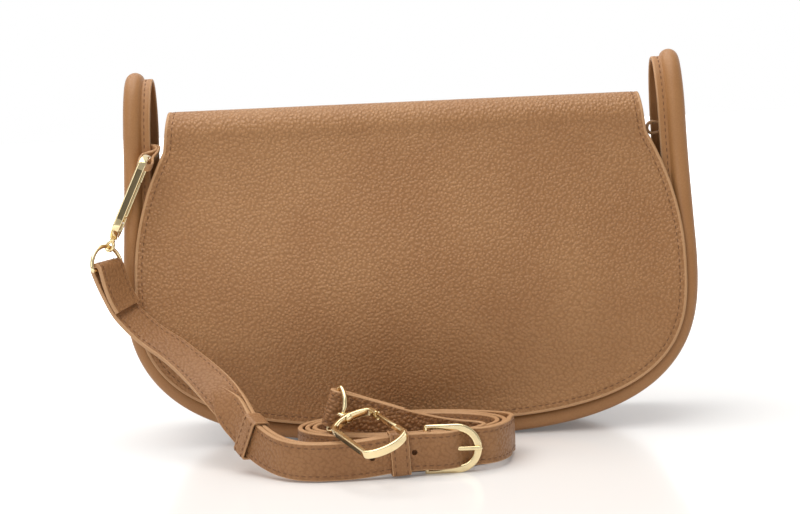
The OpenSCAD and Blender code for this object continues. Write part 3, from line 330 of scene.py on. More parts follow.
def grainGroup(name, flat):
    # Round bumps with soft valleys; on big pieces they lie on the piece's own map, else in space
    inputs = [("Cells", "NodeSocketFloat", 430), ("Irregular", "NodeSocketFloat", 0.35)]
    outputs = [(label, "NodeSocketFloat") for label in ("Height", "Crease", "Tone")]
    tree, gin, gout = newGroup(name, inputs, outputs)
    link = tree.links.new
    space = addNode(tree, "ShaderNodeTexCoord").outputs["Object"]
    place = space
    if flat:
        chart = addNode(tree, "ShaderNodeUVMap")
        chart.uv_map = "Grain"
        place = chart.outputs["UV"]
    warp = addNode(tree, "ShaderNodeTexNoise", Scale=170.0, Detail=1.0)
    link(place, warp.inputs["Vector"])
    shift = addNode(tree, "ShaderNodeVectorMath", operation="SCALE")
    link(warp.outputs["Color"], shift.inputs[0])
    link(mathNode(tree, "MULTIPLY", gin.outputs["Irregular"], 0.003), shift.inputs["Scale"])
    moved = addNode(tree, "ShaderNodeVectorMath", operation="ADD")
    link(place, moved.inputs[0])
    link(shift.outputs[0], moved.inputs[1])
    near = addNode(tree, "ShaderNodeTexVoronoi", feature="SMOOTH_F1",
                   voronoi_dimensions="2D" if flat else "3D")
    near.inputs["Smoothness"].default_value = 0.1
    near.inputs["Randomness"].default_value = 0.88
    slant = addNode(tree, "ShaderNodeVectorRotate", rotation_type="Z_AXIS", Angle=0.55)
    link(moved.outputs[0], slant.inputs["Vector"])
    link(slant.outputs[0], near.inputs["Vector"])
    link(gin.outputs["Cells"], near.inputs["Scale"])
    dome = mapRange(tree, near.outputs["Distance"], 0.1, 0.66, 1.0, 0.0)
    fine = addNode(tree, "ShaderNodeTexNoise", Scale=1500.0, Detail=2.0)
    link(space, fine.inputs["Vector"])
    small = mathNode(tree, "MULTIPLY", fine.outputs["Fac"], 0.06)
    link(mathNode(tree, "ADD", dome, small), gout.inputs["Height"])
    # Valley mask: it raises the roughness and, in the leather materials, carries painted shade into the
    # valleys
    link(mapRange(tree, near.outputs["Distance"], 0.3, 0.68, 0.0, 1.0), gout.inputs["Crease"])
    wide = addNode(tree, "ShaderNodeTexNoise", Scale=22.0, Detail=3.0)
    link(space, wide.inputs["Vector"])
    tone = mathNode(tree, "MULTIPLY", wide.outputs["Fac"], 0.8)
    link(mathNode(tree, "ADD", tone, mathNode(tree, "MULTIPLY", fine.outputs["Fac"], 0.2)),
         gout.inputs["Tone"])
    return tree


pebble = grainGroup("Pebble Grain", True)
fineGrain = grainGroup("Fine Grain", False)


def newMaterial(name):
    material = bpy.data.materials.new(name)
    material.use_nodes = True
    return material, material.node_tree, material.node_tree.nodes["Principled BSDF"]


def leatherMaterial(name, base, valleyShadeColor, light, cells=430.0, bump=0.5, creaseShade=0.55, rough=0.46,
                    irregular=0.35, distance=0.0005, flat=False):
    material, tree, shader = newMaterial(name)
    link = tree.links.new
    grain = addNode(tree, "ShaderNodeGroup", node_tree=pebble if flat else fineGrain)
    grain.inputs["Cells"].default_value = cells
    grain.inputs["Irregular"].default_value = irregular
    toned = mixColor(tree, mapRange(tree, grain.outputs["Tone"], 0.3, 0.7, 0.0, 1.0), base, light)
    # Painted shade: the grain's valleys are darkened toward the shade colour, standing in for the shade that
    # falls into them
    valleyShaded = mixColor(tree, mathNode(tree, "MULTIPLY", grain.outputs["Crease"], creaseShade), toned, valleyShadeColor)
    link(valleyShaded, shader.inputs["Base Color"])
    link(mapRange(tree, grain.outputs["Crease"], 0.0, 1.0, rough, rough + 0.18), shader.inputs["Roughness"])
    relief = addNode(tree, "ShaderNodeBump", Strength=bump, Distance=distance)
    link(grain.outputs["Height"], relief.inputs["Height"])
    link(relief.outputs["Normal"], shader.inputs["Normal"])
    shader.inputs["Specular IOR Level"].default_value = 0.36
    shader.inputs["Coat Weight"].default_value = 0.06
    shader.inputs["Coat Roughness"].default_value = 0.35
    material.diffuse_color = tuple(base) + (1,)
    return material


def srgb(r, g, b):
    # Linear colour from screen values of 0 to 255
    shares = [c / 255 for c in (r, g, b)]
    return tuple(c / 12.92 if c <= 0.04045 else ((c + 0.055) / 1.055) ** 2.4 for c in shares)


flapLeather = leatherMaterial("Pebbled Tan", srgb(162, 114, 70), srgb(108, 67, 32), srgb(173, 126, 81),
                              cells=600.0, bump=0.8, creaseShade=0.26, rough=0.42, irregular=0.12,
                              distance=0.00045, flat=True)
panelLeather = leatherMaterial("Pebbled Tan Body", srgb(158, 111, 68), srgb(104, 65, 30),
                               srgb(168, 121, 77), cells=600.0, bump=0.75, creaseShade=0.26,
                               irregular=0.12, distance=0.00045, flat=True)
rimLeather = leatherMaterial("Smooth Tan Rim", srgb(162, 114, 70), srgb(128, 84, 44), srgb(172, 124, 78),
                             cells=1100.0, bump=0.12, creaseShade=0.1, rough=0.36, distance=0.0002)
strapLeather = leatherMaterial("Fine Grain Strap", srgb(154, 108, 68), srgb(108, 69, 36), srgb(168, 123, 82),
                               cells=950.0, bump=0.3, creaseShade=0.22, rough=0.43, distance=0.0003)
# Painted shade: the straps' base colours are set darker than the flap's to stand in for the shade on the
# straps
strapGrainShaded = leatherMaterial("Pebbled Strap", srgb(149, 103, 63), srgb(100, 62, 30), srgb(162, 116, 74),
                             cells=640.0, bump=0.55, creaseShade=0.26, rough=0.43, irregular=0.2,
                             distance=0.00035, flat=True)
bandLeather = leatherMaterial("Pebbled Strap Back", srgb(152, 105, 63), srgb(96, 59, 29),
                              srgb(166, 119, 77), cells=560.0, bump=0.85, creaseShade=0.55,
                              irregular=0.15, flat=True)
edgePaint = leatherMaterial("Painted Edge", srgb(186, 142, 100), srgb(150, 106, 66), srgb(196, 152, 110),
                            cells=1500.0, bump=0.08, creaseShade=0.1, rough=0.5, distance=0.0001)


def fabricMaterial():
    # Suede-like lining: short nap with a soft tone
    material, tree, shader = newMaterial("Suede Lining")
    link = tree.links.new
    place = addNode(tree, "ShaderNodeTexCoord").outputs["Object"]
    nap = addNode(tree, "ShaderNodeTexNoise", Scale=1900.0, Detail=4.0)
    cloud = addNode(tree, "ShaderNodeTexNoise", Scale=45.0, Detail=3.0)
    link(place, nap.inputs["Vector"])
    link(place, cloud.inputs["Vector"])
    tone = mixColor(tree, mapRange(tree, cloud.outputs["Fac"], 0.35, 0.65, 0.0, 1.0), srgb(151, 109, 72),
                    srgb(159, 117, 79))
    link(mixColor(tree, mapRange(tree, nap.outputs["Fac"], 0.4, 0.7, 0.0, 0.25), tone, srgb(110, 74, 44)),
         shader.inputs["Base Color"])
    relief = addNode(tree, "ShaderNodeBump", Strength=0.35, Distance=0.0002)
    link(nap.outputs["Fac"], relief.inputs["Height"])
    link(relief.outputs["Normal"], shader.inputs["Normal"])
    shader.inputs["Roughness"].default_value = 0.85
    shader.inputs["Sheen Weight"].default_value = 0.35
    shader.inputs["Sheen Roughness"].default_value = 0.5
    return material


def metalMaterial(name, color, rough=0.13, grit=0.0):
    # Polished plating with faint wear in its roughness
    material, tree, shader = newMaterial(name)
    link = tree.links.new
    place = addNode(tree, "ShaderNodeTexCoord").outputs["Object"]
    wear = addNode(tree, "ShaderNodeTexNoise", Scale=320.0, Detail=4.0)
    link(place, wear.inputs["Vector"])
    link(mapRange(tree, wear.outputs["Fac"], 0.35, 0.7, rough, rough + 0.1), shader.inputs["Roughness"])
    patches = mapRange(tree, wear.outputs["Fac"], 0.4, 0.75, 0.0, 0.35)
    link(mixColor(tree, patches, color, tuple(c * 0.82 for c in color)), shader.inputs["Base Color"])
    shader.inputs["Metallic"].default_value = 1.0
    if grit:
        speck = addNode(tree, "ShaderNodeTexNoise", Scale=1500.0, Detail=3.0)
        link(place, speck.inputs["Vector"])
        relief = addNode(tree, "ShaderNodeBump", Strength=grit, Distance=0.0002)
        link(speck.outputs["Fac"], relief.inputs["Height"])
        link(relief.outputs["Normal"], shader.inputs["Normal"])
    return material


def shadedThreadMaterial():
    material, tree, shader = newMaterial("Stitch Thread Shaded")
    link = tree.links.new
    place = addNode(tree, "ShaderNodeTexCoord").outputs["Object"]
    twist = addNode(tree, "ShaderNodeTexNoise", Scale=3500.0, Detail=2.0)
    link(place, twist.inputs["Vector"])
    # The thread's own brown, darkened as painted shade for the shade in the sunk stitch holes
    link(mixColor(tree, twist.outputs["Fac"], srgb(104, 68, 38), srgb(132, 90, 56)),
         shader.inputs["Base Color"])
    shader.inputs["Roughness"].default_value = 0.7
    return material


suede = fabricMaterial()
gold = metalMaterial("Pale Gold", (0.82, 0.67, 0.39), rough=0.1)
recessGold = metalMaterial("Textured Recess", (0.16, 0.125, 0.07), rough=0.42, grit=0.9)
thread = shadedThreadMaterial()
print("materials ready")


# Stitches
def stitchTree():
    # Stitches at an even pitch along a line of points that carry the surface's outward direction
    tree = bpy.data.node_groups.new("Stitch Row", "GeometryNodeTree")
    face = tree.interface
    face.new_socket("Geometry", in_out="INPUT", socket_type="NodeSocketGeometry")
    sockets = {}
    inputs = (("Pitch", "NodeSocketFloat", 0.0032), ("Stitch Length", "NodeSocketFloat", 0.0023),
              ("Thickness", "NodeSocketFloat", 0.00055), ("Slant", "NodeSocketFloat", 0.0),
              ("Thread", "NodeSocketMaterial", None))
    for label, kind, value in inputs:
        s = face.new_socket(label, in_out="INPUT", socket_type=kind)
        if value is not None:
            s.default_value = value
        sockets[label] = s.identifier
    face.new_socket("Geometry", in_out="OUTPUT", socket_type="NodeSocketGeometry")
    link = tree.links.new
    gin, gout = tree.nodes.new("NodeGroupInput"), tree.nodes.new("NodeGroupOutput")
    curve = tree.nodes.new("GeometryNodeMeshToCurve")
    link(gin.outputs["Geometry"], curve.inputs["Mesh"])
    resample = addNode(tree, "GeometryNodeResampleCurve")
    resample.mode = "LENGTH"
    link(curve.outputs[0], resample.inputs["Curve"])
    link(gin.outputs["Pitch"], resample.inputs["Length"])
    outward = addNode(tree, "GeometryNodeInputNamedAttribute", data_type="FLOAT_VECTOR", Name="outward")
    tangent = tree.nodes.new("GeometryNodeInputTangent")
    first = addNode(tree, "FunctionNodeAlignEulerToVector", axis="Z")
    link(outward.outputs["Attribute"], first.inputs["Vector"])
    second = addNode(tree, "FunctionNodeAlignEulerToVector", axis="X", pivot_axis="Z")
    link(first.outputs["Rotation"], second.inputs["Rotation"])
    link(tangent.outputs["Tangent"], second.inputs["Vector"])
    turn = addNode(tree, "FunctionNodeRotateEuler", rotation_type="AXIS_ANGLE", space="LOCAL")
    turn.inputs["Axis"].default_value = (0, 0, 1)
    link(second.outputs["Rotation"], turn.inputs["Rotation"])
    link(gin.outputs["Slant"], turn.inputs["Angle"])
    bead = addNode(tree, "GeometryNodeMeshUVSphere", Segments=8, Rings=6, Radius=0.5)
    size = tree.nodes.new("ShaderNodeCombineXYZ")
    link(gin.outputs["Stitch Length"], size.inputs["X"])
    link(gin.outputs["Thickness"], size.inputs["Y"])
    link(gin.outputs["Thickness"], size.inputs["Z"])
    spread = tree.nodes.new("GeometryNodeInstanceOnPoints")
    link(resample.outputs[0], spread.inputs["Points"])
    link(bead.outputs["Mesh"], spread.inputs["Instance"])
    link(turn.outputs[0], spread.inputs["Rotation"])
    link(size.outputs[0], spread.inputs["Scale"])
    real = tree.nodes.new("GeometryNodeRealizeInstances")
    link(spread.outputs[0], real.inputs["Geometry"])
    paint = tree.nodes.new("GeometryNodeSetMaterial")
    link(real.outputs[0], paint.inputs["Geometry"])
    link(gin.outputs["Thread"], paint.inputs["Material"])
    smooth = tree.nodes.new("GeometryNodeSetShadeSmooth")
    link(paint.outputs[0], smooth.inputs["Geometry"])
    link(smooth.outputs[0], gout.inputs[0])
    return tree, sockets


stitches, stitchSockets = stitchTree()


def stitchRow(name, lines, body, pitch=3.2, length=2.3, thick=0.55, slant=0.0):
    # lines is a list of (points, outward directions) in millimetres
    verts, normals, edges, base = [], [], [], 0
    for points, outward in lines:
        points = np.asarray(points, float)
        verts.append(points / 1000)
        normals.append(unit(outward))
        edges += [(base + i, base + i + 1) for i in range(len(points) - 1)]
        base += len(points)
    mesh = bpy.data.meshes.new(name)
    mesh.from_pydata(np.concatenate(verts).tolist(), edges, [])
    data = mesh.attributes.new("outward", "FLOAT_VECTOR", "POINT")
    data.data.foreach_set("vector", np.concatenate(normals).astype(np.float32).ravel())
    obj = bpy.data.objects.new(name, mesh)
    bpy.context.scene.collection.objects.link(obj)
    mod = obj.modifiers.new("Stitches", "NODES")
    mod.node_group = stitches
    values = {"Pitch": pitch / 1000, "Stitch Length": length / 1000, "Thickness": thick / 1000,
              "Slant": slant, "Thread": thread}
    for label, value in values.items():
        mod[stitchSockets[label]] = value
    bakeModifier(obj, mod)
    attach(obj, body)
    return obj


# Rims
rimSizes = {"flangeFront": 1.55, "flangeBack": 0.12, "flangeEnd": 13.7, "stitchAt": 10.6,
            "wobble": 0.06, "wobbleLength": 9.0}


def rimSection():
    # The roll's circle, then its flange: inner face, edge, outer face with the dip for the stitches
    r = bag["rollRadius"]
    points, zone = [], []
    for deg in range(-142, 143, 8):
        a = math.radians(deg)
        points.append((r - r * math.cos(a), r * math.sin(a)))
        zone.append(0)
    front, back, end = rimSizes["flangeFront"], rimSizes["flangeBack"], rimSizes["flangeEnd"]
    dip = rimSizes["stitchAt"]
    points += [(9.0, back + 1.0), (9.6, back), (11.5, back), (end - 0.7, back), (end - 0.2, back - 0.15),
               (end, back - 0.55), (end, -front + 0.55), (end - 0.2, -front + 0.15), (end - 0.7, -front),
               (dip + 1.5, -front), (dip + 0.7, -front), (dip + 0.35, -front + 0.05), (dip, -front + 0.16),
               (dip - 0.35, -front + 0.05), (dip - 0.7, -front + 0.02), (9.5, -front + 0.25),
               (9.2, -front - 0.1), (9.0, -1.9)]
    zone += [0, 0, 0, 1, 1, 1, 1, 1] + [0] * 10
    return np.array(points), np.array(zone)


def buildRim(name, mirrored):
    k = np.linspace(-allCount, allCount, 601)
    at, out, across = rimFrame(k)
    section, zone = rimSection()
    inset = section[:, 0] - bag["rollRadius"]
    verts = at[:, None] - out[:, None] * inset[None, :, None] + across[:, None] * section[None, :, 1, None]
    wobble = ripple(at, rimSizes["wobbleLength"], 3)[:, None, None] * rimSizes["wobble"]
    verts = verts - out[:, None] * wobble
    verts[..., 2] = np.maximum(verts[..., 2], 0)
    n, m = verts.shape[:2]
    zones = list(np.tile(zone, n - 1)) + [0, 0]
    verts = verts.reshape(-1, 3)
    verts[:, 1] = np.minimum(verts[:, 1], 0)
    if mirrored:
        verts[:, 1] *= -1
    side = "back" if mirrored else "front"
    newPiece(name, verts, tubeFaces(n, m), [rimLeather, edgePaint], "bag",
             (side + "_roll", side + "_binding"), zones=zones)
    k = np.linspace(-allCount + 1.2, allCount - 1.2, 900)
    at, out, across = rimFrame(k)
    line = at - out * (rimSizes["stitchAt"] - bag["rollRadius"]) - across * (rimSizes["flangeFront"] - 0.12)
    outward = -across
    if mirrored:
        line = line * [1, -1, 1]
        outward = outward * [1, -1, 1]
    stitchRow(name + "Stitches", [(line, outward)], "bag", pitch=3.3, length=2.2)


buildRim("frontRim", False)
buildRim("backRim", True)
print("rims ready")


# Gusset, panels and linings
gussetSizes = {"inset": 2.66, "edge": 4.95, "last": allCount - 2, "sag": 0.25, "board": 1.5,
               "boardShort": 0.4}
liningStart = bag["leather"] + bag["layerGap"]
liningEnd = liningStart + bag["lining"]


def buildBand(name, insetOuter, insetInner, last, edge, material, node, slot, sag=0.0):
    # A curved sheet that follows the rims from ear to ear, between two insets
    k = np.linspace(-last, last, 361)
    at, out, across = rimFrame(k)
    t = np.linspace(0, 1, 25)
    rows = []
    for inset, sign in ((insetOuter, 1), (insetInner, -1)):
        near = at - out * (inset - bag["rollRadius"]) + across * edge
        far = near * [1, -1, 1]
        line = mix(near[:, None], far[:, None], t[None, :, None])
        line = line - out[:, None] * (sag * 4 * t * (1 - t))[None, :, None]
        rows.append(line if sign > 0 else line[:, ::-1])
    verts = np.concatenate(rows, 1)
    n, m = verts.shape[:2]
    wide = np.concatenate([t, t[::-1]]) * 2 * np.abs(near[:, 1]).max()
    chart = np.stack([np.repeat(lengthAlong(at), m), np.tile(wide, n)], 1) / 1000
    newPiece(name, verts.reshape(-1, 3), tubeFaces(n, m), [material], "bag", (node,), slot=slot, uv=chart)


g = gussetSizes
boardStart = g["inset"] + liningEnd + bag["layerGap"]
buildBand("gussetBand", g["inset"], g["inset"] + bag["leather"], g["last"], g["edge"], panelLeather,
          "gusset", "leather", g["sag"])
buildBand("gussetLining", g["inset"] + liningStart, g["inset"] + liningEnd, g["last"], g["edge"], suede,
          "lining_gusset", "lining")
buildBand("baseBoard", boardStart, boardStart + g["board"], lowCount / 2, g["edge"] + g["boardShort"],
          suede, "base_board", "lining")

panelSizes = {"inset": 9.75, "gap": 0.35, "mouthFromShare": 0.55, "mouthRunShare": 0.31, "leanFrom": 12,
              "hingeIn": 2.5, "rimSwell": 0.15, "stitchIn": 3}
gap = panelSizes["gap"]


def panelHalf(z, inset):
    z = np.asarray(z, float)
    wide = halfWidth(z, inset)
    a = mix(bag["bellyHeight"], bag["earSpring"], panelSizes["mouthFromShare"])
    s = ease((z - a) / (earRise * panelSizes["mouthRunShare"]))
    return mix(wide, np.minimum(bag["mouthHalf"], wide), s)


def panelRows(inset, top):
    # Heights of a wall's rows: close together along the round bottom, even above the belly
    j = np.linspace(0.25, lowCount, 46)
    drop = bag["bellyHeight"] + bag["rollFlat"] - inset
    low = bag["bellyHeight"] - drop * np.cos(np.radians(90) * j / lowCount).clip(0) ** (2 / bag["power"])
    return np.concatenate([low, np.linspace(bag["bellyHeight"], top, 45)[1:]])


def frontY(x, z, behind):
    return -halfDepth(z) + behind - bulge(x, z)


def backY(z, behind):
    lean = bag["earSpring"] - panelSizes["leanFrom"]
    hinge = flapSizes["hingeY"] - panelSizes["hingeIn"]
    return mix(halfDepth(np.minimum(z, bag["earSpring"])) - behind, hinge - behind,
               ease((z - lean) / (bag["backTop"] - lean)))


def backPlace(x, z, behind):
    # The back wall is straight from side to side
    return backY(z, behind) + 0 * x


def wallMesh(rows, half, near, far, place):
    # Closed sheet between two depths, its rim rounded
    cols = np.linspace(-1, 1, 81)
    z = np.repeat(rows[:, None], len(cols), 1)
    x = half[:, None] * cols[None]
    outer = np.stack([x, place(x, z, near), z], -1)
    inner = np.stack([x, place(x, z, far), z], -1)
    middle = place(x, z, (near + far) / 2)
    n, m = x.shape
    border = [(0, j) for j in range(m)] + [(i, m - 1) for i in range(1, n)]
    border += [(n - 1, j) for j in range(m - 2, -1, -1)] + [(i, 0) for i in range(n - 2, 0, -1)]
    ring = np.array([[x[i, j], middle[i, j], z[i, j]] for i, j in border])
    centre = np.array([0, 0, (rows[0] + rows[-1]) / 2])
    swollen = ring + unit((ring - centre) * [1, 0, 1]) * panelSizes["rimSwell"]
    faces = [tuple(f) for f in gridFaces(n, m)]
    faces += [tuple(np.array(f[::-1]) + n * m) for f in gridFaces(n, m)]
    base = 2 * n * m
    size = len(border)
    for t in range(size):
        i, j = border[t]
        p, q = border[(t + 1) % size]
        o1, o2 = i * m + j, p * m + q
        r1, r2 = base + t, base + (t + 1) % size
        faces.append((o1, o2, r2, r1))
        faces.append((r1, r2, o2 + n * m, o1 + n * m))
    return np.concatenate([outer.reshape(-1, 3), inner.reshape(-1, 3), swollen]), faces


def buildWall(side, top, place):
    # A leather panel, and its lining behind it
    inset, short = panelSizes["inset"], bag["layerGap"]
    rows = panelRows(inset, top)
    v, f = wallMesh(rows, panelHalf(rows, inset), gap, gap + bag["leather"], place)
    newPiece(side + "Panel", v, f, [panelLeather], "bag", (side + "_panel",), uv=v[:, ::2] / 1000)
    rows = panelRows(inset + short, top - short)
    v, f = wallMesh(rows, panelHalf(rows, inset + short), gap + liningStart, gap + liningEnd, place)
    newPiece(side + "Lining", v, f, [suede], "bag", ("lining_" + side,), slot="lining")


def wallStitches(name, heights, half, place, behind, outward):
    # Straight stitch rows across a wall
    x = np.linspace(-half + panelSizes["stitchIn"], half - panelSizes["stitchIn"], 120)
    lines = []
    for height in heights:
        z = np.full_like(x, height)
        lines.append((np.stack([x, place(x, z, behind), z], 1), np.tile(outward, (len(x), 1))))
    stitchRow(name, lines, "bag")


buildWall("front", bag["frontTop"], frontY)
buildWall("back", bag["backTop"], backPlace)
yoke = {"height": 30, "half": bag["mouthHalf"] - bag["rollRadius"], "near": gap - liningStart,
        "far": gap - bag["layerGap"], "rowStep": 23}
rows = np.linspace(bag["backTop"] - yoke["height"], bag["backTop"], 40)
v, f = wallMesh(rows, np.full(len(rows), yoke["half"]), yoke["near"], yoke["far"], backPlace)
newPiece("flapYoke", v, f, [flapLeather], "bag", ("flap_yoke",), uv=v[:, ::2] / 1000)
lowRow = bag["backTop"] - yoke["height"] + panelSizes["stitchIn"]
wallStitches("yokeStitches", (lowRow, lowRow + yoke["rowStep"]), yoke["half"], backPlace, yoke["near"],
             [0, 1.0, 0.1])
wallStitches("mouthStitches", (bag["frontTop"] - panelSizes["stitchIn"],), bag["mouthHalf"], frontY, gap,
             [0, -1.0, 0])
print("walls ready")


# Flap
flapNear = flapSizes["lift"] + gap
flapLowHalf = bag["bellyHeight"] - flapSizes["bellyDrop"] - flapSizes["low"]
flapBelly = flapSizes["low"] + flapLowHalf
foldHeight = bag["earSpring"] + flapSizes["foldAbove"]
flapDrop = math.radians(flapSizes["dropAngle"])
foldTurn = math.radians(90 + flapSizes["dropAngle"])
foldY = -bag["earHalfDepth"] - flapNear + flapSizes["foldRadius"]
arcEndY = foldY - flapSizes["foldRadius"] * math.cos(foldTurn)
topRun = (flapSizes["hingeY"] - flapSizes["hingeShort"] - arcEndY) / math.cos(flapDrop)
foldLength = flapSizes["foldRadius"] * foldTurn
sheetEnd = foldHeight + foldLength + topRun
flapIn = bag["lining"] + bag["layerGap"]


def flapHalf(s):
    # Half width of the flap at a length up its sheet
    s = np.asarray(s, float)
    turn = np.clip((s - foldHeight) / flapSizes["foldRadius"], 0, math.pi / 2)
    z = np.where(s < foldHeight, s, foldHeight + flapSizes["foldRadius"] * np.sin(turn))
    power = bag["power"]
    low = flapSizes["width"] / 2 * (1 - np.clip((flapBelly - z) / flapLowHalf, 0, 1) ** power) ** (1 / power)
    r = flapSizes["sideRadius"]
    arc = flapSizes["width"] / 2 - r + np.sqrt(np.maximum(r * r - (z - flapBelly) ** 2, 0))
    corner = flapSizes["width"] / 2 - r + math.sqrt(r * r - (flapSizes["corner"] - flapBelly) ** 2)
    topHeight = foldHeight + flapSizes["foldRadius"] - flapSizes["corner"]
    top = mix(corner, flapSizes["shownTopWidth"] / 2, np.clip((z - flapSizes["corner"]) / topHeight, 0, 1))
    return np.where(z < flapBelly, low, np.where(z < flapSizes["corner"], arc, top))


def flapPoint(x, s, out):
    # Place of a point of the flap's sheet, so far out of its lining face
    turn = np.clip((s - foldHeight) / flapSizes["foldRadius"], 0, foldTurn)
    run = np.clip(s - foldHeight - foldLength, 0, None)
    z = np.where(s < foldHeight, s, foldHeight + flapSizes["foldRadius"] * np.sin(turn))
    z = z - run * math.sin(flapDrop)
    y = np.where(s < foldHeight, -halfDepth(np.minimum(s, foldHeight)) - flapNear,
                 foldY - flapSizes["foldRadius"] * np.cos(turn))
    y = y + run * math.cos(flapDrop)
    outY, outZ = -np.cos(turn), np.sin(turn)
    return np.stack([x, y + outY * out - bulge(x, z), z + outZ * out], -1), np.stack([0 * x, outY, outZ], -1)


def flapOutline():
    # Outline of the sheet from the left end of the hinge line round the bottom to the right end
    t = np.radians(np.linspace(0, 90, 140))
    lowS = flapBelly - flapLowHalf * np.cos(t) ** (2 / bag["power"])
    lowX = flapSizes["width"] / 2 * np.sin(t) ** (2 / bag["power"])
    highS = np.concatenate([np.linspace(flapBelly, flapSizes["corner"], 60)[1:],
                            np.linspace(flapSizes["corner"], sheetEnd, 60)[1:]])
    right = np.concatenate([np.stack([lowX, lowS], 1), np.stack([flapHalf(highS), highS], 1)])
    left = right[1:][::-1] * [-1, 1]
    line = np.concatenate([left, right])
    length = lengthAlong(line)
    u = np.linspace(0, length[-1], 620)
    return np.stack([np.interp(u, length, line[:, 0]), np.interp(u, length, line[:, 1])], 1)


flapEdge = flapOutline()
inward = np.gradient(flapEdge, axis=0)
inward = unit(np.stack([-inward[:, 1], inward[:, 0]], 1))
edgeSteps = np.array([0, 0.25, 0.6, 1.0, 1.5, 1.9, 2.3, 2.8, 3.3, 3.7, 4.1, 4.7, 5.6, 7.0, 9.0])
beadSizes = {"round": 0.7, "crease": 2.1, "creaseWidth": 0.35, "creaseDepth": 0.25, "stitchAt": 3.7,
             "dipWidth": 0.5, "dipDepth": 0.2}
innerRings = 44
puffSizes = {"from": 3, "run": 12, "height": 0.28, "fade": 24, "waves": ((26.0, 11, 0.16), (60.0, 5, 0.3))}


def flapHeight(d):
    # Outer face above the lining side at a distance from the edge: a bead, a crease, a sewn dip, then full
    b = beadSizes
    full = flapSizes["thickness"]
    low = full * 0.35
    top = full - b["creaseDepth"] * np.exp(-((d - b["crease"]) / b["creaseWidth"]) ** 2)
    top = top - b["dipDepth"] * np.exp(-((d - b["stitchAt"]) / b["dipWidth"]) ** 2)
    edge = np.where(d < b["round"], np.sqrt(np.clip(1 - ((b["round"] - d) / b["round"]) ** 2, 0, 1)), 1)
    return low + (top - low) * edge


def flapSheet(steps, inner):
    # Rings of sheet points inwards from the edge, then straight to the middle line
    rings = []
    for d in steps:
        p = flapEdge + inward * d
        p[:, 1] = np.minimum(p[:, 1], sheetEnd)
        rings.append(p)
    last = rings[-1]
    spineLow, spineHigh, lowRun = 62, 84, 80
    low = spineLow + (spineHigh - spineLow) * np.clip((last[:, 1] - flapSizes["low"]) / lowRun, 0, 1)
    spine = np.stack([0 * last[:, 0], np.where(last[:, 1] < spineHigh, low, last[:, 1])], 1)
    for t in np.linspace(0, 1, inner + 1)[1:]:
        rings.append(mix(last, spine, t))
    return np.stack(rings)


sheet = flapSheet(edgeSteps, innerRings)
ringDistance = np.concatenate([edgeSteps, np.full(innerRings, 12.0)])  # the inner rings have full height


def buildFlap():
    x, s = sheet[..., 0], sheet[..., 1]
    height = np.repeat(flapHeight(ringDistance)[:, None], sheet.shape[1], 1) + flapIn
    outer, _ = flapPoint(x, s, height)
    # The leather swells a little from its sewn edge inwards, with slow waves, and lies flat at the fold
    full = ease((ringDistance - puffSizes["from"]) / puffSizes["run"])[:, None]
    flatPoints = np.stack([x.ravel(), 0 * x.ravel(), s.ravel()], 1)
    waves = sum(ripple(flatPoints, scale, seed) * high for scale, seed, high in puffSizes["waves"])
    soft = waves.reshape(x.shape) * full + puffSizes["height"] * full
    outer[..., 1] += soft * ease((foldHeight - s) / puffSizes["fade"])
    under, _ = flapPoint(x[:len(edgeSteps)], s[:len(edgeSteps)], np.full_like(x[:len(edgeSteps)], flapIn))
    n, m = x.shape
    faces = [tuple(f) for f in gridFaces(n, m)]
    zones = [1 if i // (m - 1) < 4 else 0 for i in range(len(faces))]
    k = len(edgeSteps)
    verts = np.concatenate([outer.reshape(-1, 3), under.reshape(-1, 3)])
    base = n * m
    faces += [tuple(np.array(q[::-1]) + base) for q in gridFaces(k, m)]
    zones += [0] * ((k - 1) * (m - 1))
    for j in range(m - 1):
        faces.append((j, base + j, base + j + 1, j + 1))
        zones.append(1)
    chart = np.concatenate([sheet.reshape(-1, 2), sheet[:k].reshape(-1, 2)]) / 1000
    newPiece("flapShell", verts, faces, [flapLeather, edgePaint], "flap", ("flap_outer", "flap_edges"),
             zones=zones, uv=chart)
    thin = flapSheet([0.3, 4.0], 30)[:, ::2]
    n, m = thin.shape[:2]
    lining = [flapPoint(thin[..., 0], thin[..., 1], np.full((n, m), out))[0].reshape(-1, 3)
              for out in (0.0, bag["lining"])]
    faces = [tuple(q) for q in gridFaces(n, m)]
    faces += [tuple(np.array(q[::-1]) + n * m) for q in gridFaces(n, m)]
    faces += [(j, n * m + j, n * m + j + 1, j + 1) for j in range(m - 1)]
    newPiece("flapLining", np.concatenate(lining), faces, [suede], "flap", ("flap_lining",), slot="lining")
    row = flapEdge + inward * beadSizes["stitchAt"]
    row = row[row[:, 1] < sheetEnd - 2]
    p, out = flapPoint(row[:, 0], row[:, 1], np.full(len(row), flapIn + flapSizes["thickness"] - 0.16))
    stitchRow("flapStitches", [(p, out)], "flap", pitch=3.3, length=2.2)


buildFlap()


hingeSizes = {"thick": 0.6, "lap": 6.0, "under": 2.7}


